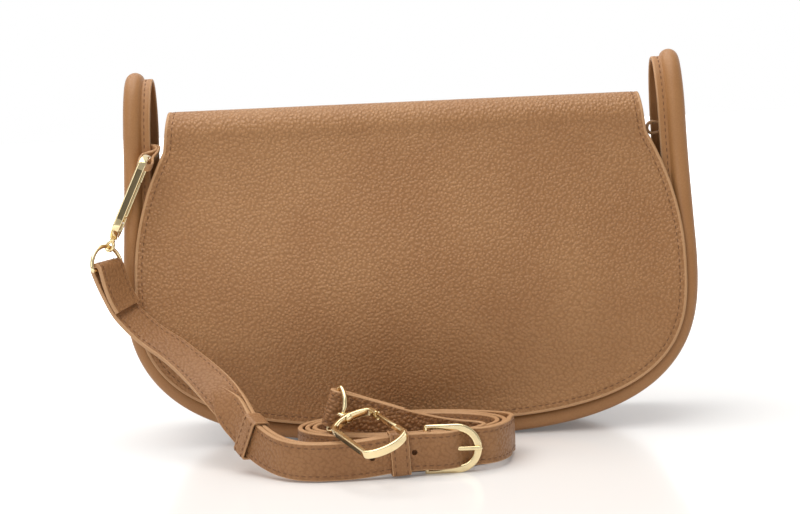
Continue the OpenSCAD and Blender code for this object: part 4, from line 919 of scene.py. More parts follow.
def buildHingeStrip():
    # Thin strip outside the hinge line: sewn on the yoke below, on the flap above, bending between them
    thick, lap, under = hingeSizes["thick"], hingeSizes["lap"], hingeSizes["under"]
    cols = np.linspace(-yoke["half"] + 0.6, yoke["half"] - 0.6, 90)
    zLow = np.linspace(bag["backTop"] - under, bag["backTop"], 7)
    low = np.stack([backY(zLow, yoke["near"]) + thick / 2 + 0.2, zLow], 1)
    lapS = sheetEnd - lap * (1 - np.linspace(1, 0, 14))
    top, _ = flapPoint(np.zeros(14), lapS, np.full(14, flapIn + flapSizes["thickness"] + thick / 2 + 0.1))
    turnLow, turnTop = low[-1], top[0, 1:]
    middle = np.array([turnLow + [0.22, 0.9], turnLow + [0.6, 1.8], turnTop + [0.26, -0.5]])
    line = np.concatenate([low, middle, top[:, 1:]])
    place = curveAt(line, np.linspace(0, len(line) - 1, 4 * (len(line) - 1) + 1))
    ahead = unit(np.gradient(place, axis=0))
    side = np.stack([ahead[:, 1], -ahead[:, 0]], 1)
    loop = np.concatenate([place + side * thick / 2, (place - side * thick / 2)[::-1]])
    n, m = len(cols), len(loop)
    verts = np.stack([np.repeat(cols, m), np.tile(loop[:, 0], n), np.tile(loop[:, 1], n)], 1)
    chart = np.stack([verts[:, 0], verts[:, 2] + verts[:, 1]], 1) / 1000
    strip = newPiece("hingeStrip", verts, tubeFaces(n, m), [flapLeather], None, uv=chart)
    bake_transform(strip)


buildHingeStrip()
print("flap ready")


# Straps
strap = {"width": 17, "thick": 2.6, "skive": 1.25, "wire": 2.0, "fold": 22, "gap": 0.2, "stitchIn": 2.2}
pairStep = (strap["thick"] + strap["gap"]) / 2
foldRadius = strap["wire"] / 2 + strap["gap"] + strap["thick"] / 2
placeScale = np.array([bag["width"] / 2, bag["depth"] / 2, bag["bellyHeight"]])
runShares = [
    [-1.033, -1.234, 1.048], [-1.008, -1.27, 0.931], [-0.974, -1.287, 0.82], [-0.923, -1.34, 0.73],
    [-0.88, -1.399, 0.672], [-0.818, -1.51, 0.608], [-0.763, -1.65, 0.543], [-0.706, -1.846, 0.47],
    [-0.652, -2.084, 0.392], [-0.604, -2.34, 0.312], [-0.565, -2.57, 0.243], [-0.53, -2.78, 0.19],
    [-0.487, -2.99, 0.15], [-0.437, -3.189, 0.122], [-0.38, -3.337, 0.107], [-0.32, -3.401, 0.102],
    [-0.246, -3.407, 0.102], [-0.173, -3.395, 0.108], [-0.092, -3.35, 0.12], [-0.028, -3.31, 0.1245],
    [0.03, -3.275, 0.1245],
]
runAcross = [
    [0.55, 0.83, -0.03], [0.55, 0.82, 0.1], [0.54, 0.81, 0.22], [0.52, 0.79, 0.32], [0.5, 0.78, 0.37],
    [0.48, 0.76, 0.42], [0.46, 0.74, 0.46], [0.42, 0.68, 0.58], [0.34, 0.54, 0.75], [0.22, 0.34, 0.9],
    [0.12, 0.18, 0.97], [0.07, 0.1, 0.99], [0.03, 0.04, 1],
] + [[0, 0, 1]] * 8
runPoints = np.array(runShares) * placeScale
runLast = len(runPoints) - 1


def runAt(u):
    return curveAt(runPoints, u)


def runDir(u):
    u = np.atleast_1d(u)
    return unit(runAt(np.minimum(u + 0.1, runLast)) - runAt(np.maximum(u - 0.1, 0)))


def runWidth(u):
    return squareTo(curveAt(runAcross, u), runDir(u))


def runFront(u):
    return np.cross(runDir(u), runWidth(u))


runPitch = float(np.linalg.norm(runPoints[1] - runPoints[0]))


def foldStep(s):
    return mix(foldRadius, pairStep, ease(1.4 * np.asarray(s) / strap["fold"]))


buckle = {"wire": 2.2, "length": 26, "bowWidth": 3.6, "armWidth": 2.0, "armStraight": 3, "depth": 2.0}
buckleR = buckle["wire"] / 2
wrapR = buckleR + 0.15 + strap["skive"] / 2
barFront = pairStep - strap["thick"] / 2 - strap["gap"] + strap["skive"] / 2 + wrapR
barAt = (runAt(runLast) - runFront(runLast) * barFront)[0]
buckleX = unit([1, -0.01, 0])
buckleFront = np.cross(buckleX, [0, 0, 1])
buckleHalf = strap["width"] / 2 + 0.5 + buckleR
bowX = buckle["length"] - 2 * buckleR - buckleHalf


def byBuckle(a, b):
    return barAt + buckleX * a + buckleFront * b


def strapMesh(path, widths, thick, widthScale=None, step=1.3):
    # Stations at an even step along smoothed points, with their directions and their sections
    p, u = alongCurve(path, step)
    w = curveAt(widths, u)
    t = np.interp(u, np.arange(len(path)), thick)
    along = unit(np.gradient(p, axis=0))
    across = squareTo(w, along)
    out = np.cross(along, across)
    base, zone = strapSection(strap["width"], strap["thick"], puff=0.18, groove=0.16,
                              grooveAt=strap["stitchIn"])
    shapes = np.repeat(base[None], len(p), 0)
    shapes[..., 1] *= (t / strap["thick"])[:, None]
    if widthScale is not None:
        shapes[..., 0] *= np.interp(u, np.arange(len(path)), widthScale)[:, None]
    return p, u, across, out, shapes, zone


def stitchLines(p, across, out, shapes, first, last):
    # A row near each edge of the strap, on both faces
    part = slice(first, last)
    half = shapes[part, :, 0].max(1) - strap["stitchIn"]
    lift = shapes[part, :, 1].max(1) - 0.2
    lines = []
    for face in (1, -1):
        for side in (1, -1):
            q = p[part] + across[part] * (side * half)[:, None] + out[part] * (face * lift)[:, None]
            lines.append((q, out[part] * face))
    return lines


# Short strap
tabUs = np.arange(6, 0, -1) / 6 * strap["fold"] / runPitch
foldArc = np.radians(180) * np.arange(7) / 6
bend = runPoints[0] + (runFront(0) * np.cos(foldArc)[:, None]
                       - runDir(0) * np.sin(foldArc)[:, None]) * foldRadius
mainUs = np.arange(1, 4 * (runLast - 1) + 1) / 4
skiveFrom = runLast - 2
mainThick = mix(strap["thick"], strap["skive"], ease((mainUs - skiveFrom) / 1.2))
tab = runAt(tabUs) + runFront(tabUs) * foldStep(tabUs * runPitch)[:, None]
mainBack = foldStep(mainUs * runPitch) + (mainThick - strap["thick"]) / 2
main = runAt(mainUs) - runFront(mainUs) * mainBack[:, None]
wrap = np.array([byBuckle(wrapR * math.sin(a), wrapR * math.cos(a)) for a in foldArc])
wrapEnd = 7.5
tailFront = wrapR - strap["skive"] - strap["gap"]
tail = np.array([byBuckle(-wrapEnd * j / 4, mix(-wrapR, tailFront, float(ease(j / 3))))
                 for j in range(1, 5)])
shortPath = np.concatenate([tab, bend, main, wrap, tail])
up = [[0, 0, 1.0]]
shortWidths = np.concatenate([runWidth(tabUs), np.repeat(runWidth(0), 7, 0), runWidth(mainUs),
                              np.repeat(up, 11, 0)])
shortThick = np.concatenate([np.full(13, strap["thick"]), mainThick, np.full(11, strap["skive"])])
p, u, across, out, shapes, zone = strapMesh(shortPath, shortWidths, shortThick)
v, f, zones, uv = sweepSection(p, across, out, shapes, zone, 1)
shortStrap = newPiece("shortStrap", v, f, [strapGrainShaded, edgePaint], "bag", ("short_strap",), zones=zones,
                      uv=uv)
lastStitch = int(np.searchsorted(u, len(shortPath) - 13))
stitchRow("shortStrapStitches", stitchLines(p, across, out, shapes, 3, lastStitch), "bag", pitch=3.2,
          length=2.2)

# Long strap
coil = {"turns": 2.83, "pitch": 3.4, "halfWidth": 50.5, "halfDepth": 31.8, "start": -15, "perTurn": 24}
coilAt = np.array([-0.042, -2.266, 0]) * placeScale
coilSteps = round(coil["turns"] * coil["perTurn"])
ci = np.arange(coilSteps + 1)
ca = np.radians(coil["start"] + 360 * ci / coil["perTurn"])
cin = coil["pitch"] * ci / coil["perTurn"]
coilPoints = np.stack([coilAt[0] + (coil["halfWidth"] - cin) * np.cos(ca),
                       coilAt[1] + (coil["halfDepth"] - cin) * np.sin(ca),
                       np.full(len(ci), strap["width"] / 2)], 1)
throughShares = [[0.3, 0.34], [0.62, 0.32], [0.92, 0.18], [1.18, -0.06], [1.42, -0.25], [1.72, -0.245],
                 [2.08, -0.31], [2.42, -0.55], [2.7, -0.94], [2.9, -1.42]]
holeX = buckle["length"] / 2
endShares = [
    [0.1, -2.815, 0.097], [0.17, -2.775, 0.098], [0.205, -2.69, 0.1], [0.213, -2.6, 0.104],
    [0.19, -2.535, 0.11], [0.15, -2.54, 0.119], [0.09, -2.6, 0.139], [0.02, -2.665, 0.17],
    [-0.05, -2.7, 0.205], [-0.125, -2.712, 0.247], [-0.18, -2.72, 0.276], [-0.225, -2.745, 0.301],
    [-0.262, -2.775, 0.32],
]
endPoints = np.concatenate([coilPoints[-1:], np.array(endShares) * placeScale])
endLast = len(endPoints) - 1


def endAt(u):
    return curveAt(endPoints, u)


def endBack(u):
    u = np.atleast_1d(u)
    return unit(endAt(np.maximum(u - 0.1, 0)) - endAt(np.minimum(u + 0.1, endLast)))


def endWidth(u):
    u = np.atleast_1d(u)
    return squareTo(mix(np.array([0, 0, 1.0]), np.array([0.32, 0, 0.95]), ease((u - 3) / 4)[:, None]),
                    endBack(u))


def endTab(u):
    return np.cross(endWidth(u), endBack(u))


endPitch = float(np.linalg.norm(endPoints[-1] - endPoints[-2]))
rightBarAt = (endAt(endLast) + endTab(endLast) * foldRadius)[0]
rightBarDir = endWidth(endLast)[0]
tipU, tipLen = 8.15, 1.3
longUs = np.concatenate([tipU + tipLen * np.arange(4) / 4,
                         np.arange(math.ceil(4 * (tipU + tipLen)), 4 * runLast) / 4])
tipShare = mix(0.3, 1, np.sin(np.radians(90) * np.clip((longUs - tipU) / tipLen, 0, 1)))
tipLift = 0.7 * strap["thick"] * (1 - ease((longUs - tipU) / 2))
front = runAt(longUs) + runFront(longUs) * (pairStep + tipLift)[:, None]
through = np.array([byBuckle(a * holeX, b * holeX) for a, b in throughShares])
coilRise = barAt[2] - strap["width"] / 2
turns = coilPoints[:-1] + np.array([[0, 0, coilRise * (1 - float(ease((i + 1) / 6)))]
                                    for i in range(coilSteps)])
endUs = np.arange(0, 2 * endLast + 1) / 2
bendArc = foldArc[1:]
endBend = rightBarAt - (endTab(endLast) * np.cos(bendArc)[:, None]
                        + endBack(endLast) * np.sin(bendArc)[:, None]) * foldRadius
endTabUs = endLast - strap["fold"] / endPitch * np.arange(1, 7) / 6
endTabPoints = endAt(endTabUs) + endTab(endTabUs) * 2 * foldStep((endLast - endTabUs) * endPitch)[:, None]
longPath = np.concatenate([front, through, turns, endAt(endUs), endBend, endTabPoints])
longWidths = np.concatenate([runWidth(longUs), np.repeat(up, len(through) + len(turns), 0), endWidth(endUs),
                             np.repeat(endWidth(endLast), 6, 0), endWidth(endTabUs)])
longScale = np.concatenate([tipShare, np.ones(len(longPath) - len(longUs))])
p, u, across, out, shapes, zone = strapMesh(longPath, longWidths, np.full(len(longPath), strap["thick"]),
                                            longScale, step=1.2)
v, f, zones, uv = sweepSection(p, across, out, shapes, zone, 1)
endFrom = int(np.searchsorted(u, len(front) + len(through) + coilSteps + 2))
zones = [2 if z == 0 and i // shapes.shape[1] >= endFrom else z for i, z in enumerate(zones)]
longStrap = newPiece("longStrap", v, f, [strapGrainShaded, edgePaint, bandLeather], "bag", ("long_strap",),
                     zones=zones, uv=uv)
stitchRow("longStrapStitches", stitchLines(p, across, out, shapes, 10, len(p) - 4), "bag", pitch=3.2,
          length=2.2)
print("straps ready, long strap", round(lengthAlong(p)[-1]), "mm")


# Cuts
def solidBox(size, at=(0, 0, 0)):
    v = np.array([[x, y, z] for x in (-0.5, 0.5) for y in (-0.5, 0.5) for z in (-0.5, 0.5)]) * size + at
    f = [(0, 1, 3, 2), (4, 6, 7, 5), (0, 4, 5, 1), (2, 3, 7, 6), (0, 2, 6, 4), (1, 5, 7, 3)]
    return v, f


def cutPiece(obj, cutters, material=None):
    # Cuts closed shapes one by one out of a piece and keeps the result as its mesh
    for v, f in cutters:
        mesh = bpy.data.meshes.new("cut")
        mesh.from_pydata((np.asarray(v) / 1000).tolist(), [], [tuple(int(i) for i in q) for q in f])
        bm = bmesh.new()
        bm.from_mesh(mesh)
        bmesh.ops.recalc_face_normals(bm, faces=bm.faces)
        bm.to_mesh(mesh)
        bm.free()
        if material:
            mesh.materials.append(material)
        tool = bpy.data.objects.new("cut", mesh)
        bpy.context.scene.collection.objects.link(tool)
        mod = obj.modifiers.new("Cut", "BOOLEAN")
        mod.operation, mod.solver, mod.object = "DIFFERENCE", "EXACT", tool
        if material:
            mod.material_mode = "TRANSFER"
        bakeModifier(obj, mod)
        bpy.data.objects.remove(tool)


def smoothByAngle(obj, degrees=35, bevel=0.0, segments=2):
    if bevel:
        mod = obj.modifiers.new("Bevel", "BEVEL")
        mod.width, mod.segments = bevel / 1000, segments
        mod.limit_method, mod.angle_limit = "ANGLE", math.radians(32)
        mod.harden_normals = False
        bakeModifier(obj, mod)
    obj.data.shade_smooth()
    obj.data.set_sharp_from_angle(angle=math.radians(degrees))


def closedSweep(path, across, out, section, zone=None):
    # Section carried round a closed path
    path = np.asarray(path, float)
    n = len(path)
    section = np.asarray(section, float)
    if section.ndim == 2:
        section = np.repeat(section[None], n, 0)
    m = section.shape[1]
    verts = path[:, None] + across[:, None] * section[..., :1] + out[:, None] * section[..., 1:2]
    faces = [tuple(f) for f in gridFaces(n, m, wrapRows=True, wrapCols=True)]
    return verts.reshape(-1, 3), faces, list(np.tile(zone if zone is not None else np.zeros(m, int), n))


def roundedBox(width, height, radius, corner=5, belly=0.0):
    # Outline of a rounded rectangle, its long sides bowed out by belly
    pts = []
    for cx, cy, start in ((1, 1, 0), (-1, 1, 90), (-1, -1, 180), (1, -1, 270)):
        for t in np.radians(start + np.linspace(0, 90, corner)):
            pts.append([cx * (width / 2 - radius) + radius * math.cos(t),
                        cy * (height / 2 - radius) + radius * math.sin(t)])
    pts = np.array(pts)
    if belly:
        fine = []
        for i in range(len(pts)):
            a, b = pts[i], pts[(i + 1) % len(pts)]
            steps = 6 if (i + 1) % corner == 0 else 1
            fine += [mix(a, b, k / steps) for k in range(steps)]
        pts = np.array(fine)
        pts[:, 1] += np.sign(pts[:, 1]) * belly * (1 - (2 * pts[:, 0] / width) ** 2)
    return pts


def circle(radius, sides=24):
    a = np.linspace(0, 2 * math.pi, sides, endpoint=False)
    return np.stack([radius * np.cos(a), radius * np.sin(a)], 1)


def frameOf(at, x, y):
    x = unit(x)
    y = squareTo(np.asarray(y, float), x)
    return np.asarray(at, float), np.stack([x, y, np.cross(x, y)], 1)


def toWorld(points, at, axes):
    return np.asarray(points, float) @ axes.T + at


def latheRod(profile, at, axis, sides=32):
    # Solid of revolution: profile is a list of (distance along the axis, radius)
    axis = unit(axis)
    side = unit(np.cross(axis, [0, 0, 1] if abs(axis[2]) < 0.9 else [1, 0, 0]))
    other = np.cross(axis, side)
    a = np.linspace(0, 2 * math.pi, sides, endpoint=False)
    ring = side * np.cos(a)[:, None] + other * np.sin(a)[:, None]
    verts = np.concatenate([np.asarray(at) + axis * h + ring * r for h, r in profile])
    n = len(profile)
    faces = [tuple(f) for f in gridFaces(n, sides, wrapCols=True)]
    return verts, faces + [tuple(range(sides - 1, -1, -1)), tuple(range((n - 1) * sides, n * sides))]


def solidRod(radius, length, at=(0, 0, 0), axis=(0, 0, 1)):
    return latheRod([(-length / 2, radius), (length / 2, radius)], at, axis, 28)


# Holes in the long strap, the buckle and its prong
prong = {"width": 1.9, "thick": 1.35, "eyeWidth": 2.4, "eye": 0.8, "lift": 0.9}
holes = {"radius": 1.3, "pitch": 22, "prongRadius": 1.05, "prongReach": 30, "prongMiddle": 16.3}
prongTip = byBuckle(bowX + buckleHalf + buckleR * 0.6, buckleR + prong["lift"])
prongDir = unit(prongTip - barAt)
uStep = float(np.linalg.norm(runAt(runLast - 2) - runAt(runLast - 3)))
cutters = []
for i in (1, 2):
    hu = runLast - (holes["pitch"] * i - holeX) / uStep
    normal = runFront(hu)[0]
    cutters.append(solidRod(holes["radius"], strap["thick"] + 2, runAt(hu)[0] + normal * pairStep, normal))
cutters.append(solidRod(holes["prongRadius"], holes["prongReach"],
                        barAt + prongDir * holes["prongMiddle"], prongDir))
cutPiece(longStrap, cutters)
longStrap.data.shade_smooth()
longStrap.data.set_sharp_from_angle(angle=math.radians(50))

# Slit in the short strap for the prong's eye
slit, slitFaces = solidBox((4 * wrapR, 4 * wrapR, prong["eyeWidth"] + 2 * strap["gap"]))
slit = barAt + slit @ np.stack([buckleX, buckleFront, [0, 0, 1.0]])
cutPiece(shortStrap, [(slit, slitFaces)])
shortStrap.data.shade_smooth()
shortStrap.data.set_sharp_from_angle(angle=math.radians(50))


def buildBuckle():
    # Frame: slim arms from the bar that widen into a half round bow
    wide, straight = buckle["bowWidth"], buckle["armStraight"]
    outer = buckleHalf + buckleR
    arm = []
    for x in np.linspace(0, bowX, 14):
        w = mix(buckle["armWidth"], wide, float(ease((x - straight) / (bowX - straight))))
        arm.append((x, outer - w / 2, w))
    r = outer - wide / 2
    turns = np.radians(np.linspace(-90, 90, 41))[1:-1]
    pts = [[x, 0, -z] for x, z, w in arm]
    pts += [[bowX + r * math.cos(a), 0, r * math.sin(a)] for a in turns]
    pts += [[x, 0, z] for x, z, w in arm[::-1]]
    widths = [w for x, z, w in arm] + [wide] * len(turns) + [w for x, z, w in arm[::-1]]
    inward = [[0, 0, 1]] * len(arm) + [[-math.cos(a), 0, -math.sin(a)] for a in turns]
    inward += [[0, 0, -1]] * len(arm)
    pts, inward = np.array(pts), np.array(inward, float)
    axes = np.stack([buckleX, buckleFront, [0, 0, 1.0]], 1)
    world = barAt + pts @ axes.T
    across = inward @ axes.T
    out = np.repeat(buckleFront[None], len(pts), 0)
    shapes = np.stack([roundedBox(w, buckle["depth"], 0.85, belly=0.05) for w in widths])
    bow = sweepSection(world, across, out, shapes)[:2]
    half = [(buckleHalf - 0.4, buckleR), (buckleHalf + 0.8, 0.95), (buckleHalf + 1.0, 0.5)]
    bar = latheRod([(-h, r) for h, r in half[::-1]] + half, barAt, [0, 0, 1])
    v, f = joinMeshes([bow, bar])
    smoothByAngle(newPiece("buckleFrame", v, f, [gold], "buckle_body", ("buckle_frame",), slot="metal"), 50)
    # Prong: a slightly arched bar with an eye round the buckle's bar
    reach = float(np.linalg.norm(prongTip - barAt))
    side = np.array([0, 0, 1.0])
    out = np.cross(side, prongDir)
    out = out if out @ buckleFront > 0 else -out
    t = np.linspace(0.06, 1, 24)
    lift = 0.25 * np.sin(math.pi * t) ** 2
    path = barAt + prongDir * (t * (reach + 0.6))[:, None] + out * (lift - 0.1)[:, None]
    w = prong["width"] - np.interp(t, [0.8, 0.95, 1], [0, 0.2, 1.0])
    h = prong["thick"] - np.interp(t, [0.8, 0.95, 1], [0, 0.15, 0.65])
    shapes = np.stack([roundedBox(a, b, min(a, b) * 0.42) for a, b in zip(w, h)])
    shaft = sweepSection(path, np.repeat(side[None], len(t), 0), np.repeat(out[None], len(t), 0), shapes)[:2]
    a = np.linspace(0, 2 * math.pi, 28, endpoint=False)
    rEye = buckleR + 0.1 + prong["eye"] / 2
    ring = barAt + buckleX * (rEye * np.cos(a))[:, None] + buckleFront * (rEye * np.sin(a))[:, None]
    radial = buckleX * np.cos(a)[:, None] + buckleFront * np.sin(a)[:, None]
    eye = closedSweep(ring, np.repeat(side[None], 28, 0), radial,
                      roundedBox(prong["eyeWidth"], prong["eye"], 0.3))[:2]
    v, f = joinMeshes([shaft, eye])
    smoothByAngle(newPiece("buckleProng", v, f, [gold], "prong_body", ("buckle_prong",), slot="metal"), 50)


buildBuckle()
print("buckle ready")


# Keepers
keeper = {"width": 8.5, "thick": 1.2, "sideGap": 0.35, "corner": 1.5, "rowAt": 2.65}


def buildKeeper(name, u, faceGap, body, node):
    # A band round both straps, with a stitch row near each of its edges
    thick = keeper["thick"]
    innerW = strap["width"] + 2 * keeper["sideGap"]
    innerT = 2 * (pairStep + strap["thick"] / 2 + faceGap)
    at, axes = frameOf(runAt(u)[0], runDir(u)[0], runWidth(u)[0])
    a, b = innerW / 2 + thick / 2, innerT / 2 + thick / 2
    outline = roundedBox(2 * a, 2 * b, keeper["corner"], corner=7)
    fine = []
    for i in range(len(outline)):
        p, q = outline[i], outline[(i + 1) % len(outline)]
        steps = max(1, int(np.linalg.norm(q - p) / 1.0))
        fine += [mix(p, q, k / steps) for k in range(steps)]
    outline = np.array(fine)
    tangent = unit(np.roll(outline, -1, 0) - np.roll(outline, 1, 0))
    outward = np.stack([tangent[:, 1], -tangent[:, 0]], 1)
    flat = np.stack([np.zeros(len(outline)), outline[:, 0], outline[:, 1]], 1)
    path = toWorld(flat, at, axes)
    out = np.stack([np.zeros(len(outline)), outward[:, 0], outward[:, 1]], 1) @ axes.T
    across = np.repeat(axes[:, 0][None], len(path), 0)
    section, zone = strapSection(keeper["width"], thick, radius=0.35, puff=0.08, groove=0.08,
                                 grooveAt=keeper["width"] / 2 - keeper["rowAt"])
    v, f, zones = closedSweep(path, across, out, section, zone)
    newPiece(name, v, f, [strapLeather, edgePaint], body, (node,), zones=zones)
    y = np.linspace(-innerW / 2 + 0.6, innerW / 2 - 0.6, 30)
    lines = []
    for x in (-keeper["rowAt"], keeper["rowAt"]):
        p = toWorld(np.stack([np.full(30, x), y, np.full(30, b + thick / 2 - 0.05)], 1), at, axes)
        lines.append((p, np.repeat(axes[:, 2][None], 30, 0)))
    stitchRow(name + "Stitches", lines, body, pitch=3.0, length=2.0)


buildKeeper("fixedKeeper", runLast - 1.5, 0.35, "bag", "fixed_keeper")
buildKeeper("slidingKeeper", 10.9, 0.95, "keeper_body", "sliding_keeper")


# Rings, swivels and hooks
ringSizes = {"radius": 10.5, "wire": 2.0, "corner": 1.7, "cornerTurn": 0.16}
hookSizes = {"length": 45, "width": 22, "endRadius": 14, "bandThick": 2.2, "bandHeight": 3.8, "gate": 19,
             "play": 0.2, "panelLength": 26, "panelHeight": 2.6, "panelDepth": 0.3, "pin": 1.2,
             "tongue": 1.7, "slotEnd": 1.3}
swivelSizes = {"eye": 1.5, "eyeWire": 1.6, "post": 1.9, "collar": 0.7, "headHeight": 0.8, "head": 3.6}
eyeReach = hookSizes["play"] + swivelSizes["collar"] + swivelSizes["eye"] + swivelSizes["eyeWire"] * 0.75
eyeSlack = swivelSizes["eye"] - ringSizes["wire"] / 2 - 0.1
leftBarAt = runPoints[0]
leftBarDir = runWidth(0)[0]
leftUp = squareTo(np.array([-0.1, 0.11, 0.99]), leftBarDir)
rightUp = squareTo(np.array([0.47, -0.88, -0.03]), rightBarDir)


def ringPoint(bar, upward, along, turn):
    return bar + (along * math.sin(turn) + upward * math.cos(turn)) * ringSizes["radius"]


def ringTangent(upward, along, turn):
    return along * math.cos(turn) - upward * math.sin(turn)


leftTurn = math.radians(27)
leftRingAt = ringPoint(leftBarAt, leftUp, leftBarDir, leftTurn)
rightRingAt = ringPoint(rightBarAt, rightUp, rightBarDir, 0.0)
leftHookX = unit([-0.398, -0.218, -0.891])
leftHookY = squareTo(np.array([-0.132, 0.975, -0.179]), leftHookX)
rightHookX = unit([-0.449, 0.881, 0.149])
rightHookY = squareTo(np.array([0.858, 0.379, 0.346]), rightHookX)
leftHookAt = leftRingAt - leftHookX * (eyeSlack + eyeReach + hookSizes["length"] / 2)
rightHookAt = rightRingAt - rightHookX * (eyeSlack + eyeReach + hookSizes["length"] / 2)


def buildRing(name, bar, upward, along, body, node):
    # Half a circle of wire, closed by a straight bar
    r, corner = ringSizes["radius"], ringSizes["corner"]
    turn = math.pi / 2 - ringSizes["cornerTurn"]
    pts = [[r * math.cos(t), r * math.sin(t)] for t in np.linspace(turn, -turn, 60)]
    lowEnd = np.array(pts[-1])
    tip, after = np.array([0, -r]), np.array([0, corner - r])
    bent = [mix(mix(lowEnd, tip, t), mix(tip, after, t), t) for t in np.linspace(0, 1, 7)[1:]]
    pts += bent + [[0, y] for y in np.linspace(corner - r, r - corner, 12)[1:-1]]
    pts += [[p[0], -p[1]] for p in bent[::-1]]
    pts = np.array(pts)
    path = bar + upward * pts[:, :1] + along * pts[:, 1:]
    tangent = unit(np.roll(path, -1, 0) - np.roll(path, 1, 0))
    side = np.repeat(np.cross(upward, along)[None], len(path), 0)
    out = np.cross(tangent, side)
    v, f, _ = closedSweep(path, side, out, circle(ringSizes["wire"] / 2, 20))
    newPiece(name, v, f, [gold], body, (node,), slot="metal")


def hookLine(inset):
    # The oval's closed outline, so far inside its outer face
    r, half = hookSizes["endRadius"] - inset, hookSizes["length"] / 2 - hookSizes["endRadius"]
    top = hookSizes["width"] / 2 - inset
    a = math.asin(min(1, top / r))
    x0 = half + r * math.cos(a)
    right = [[half + r * math.cos(t), r * math.sin(t)] for t in np.linspace(a, -a, 46)]
    left = [[-half - r * math.cos(t), r * math.sin(t)] for t in np.linspace(-a, a, 46)]
    straightTop = [[x, top] for x in np.linspace(-x0, x0, 30)[1:-1]]
    straightLow = [[x, -top] for x in np.linspace(x0, -x0, 30)[1:-1]]
    return np.array(right + straightLow + left + straightTop)


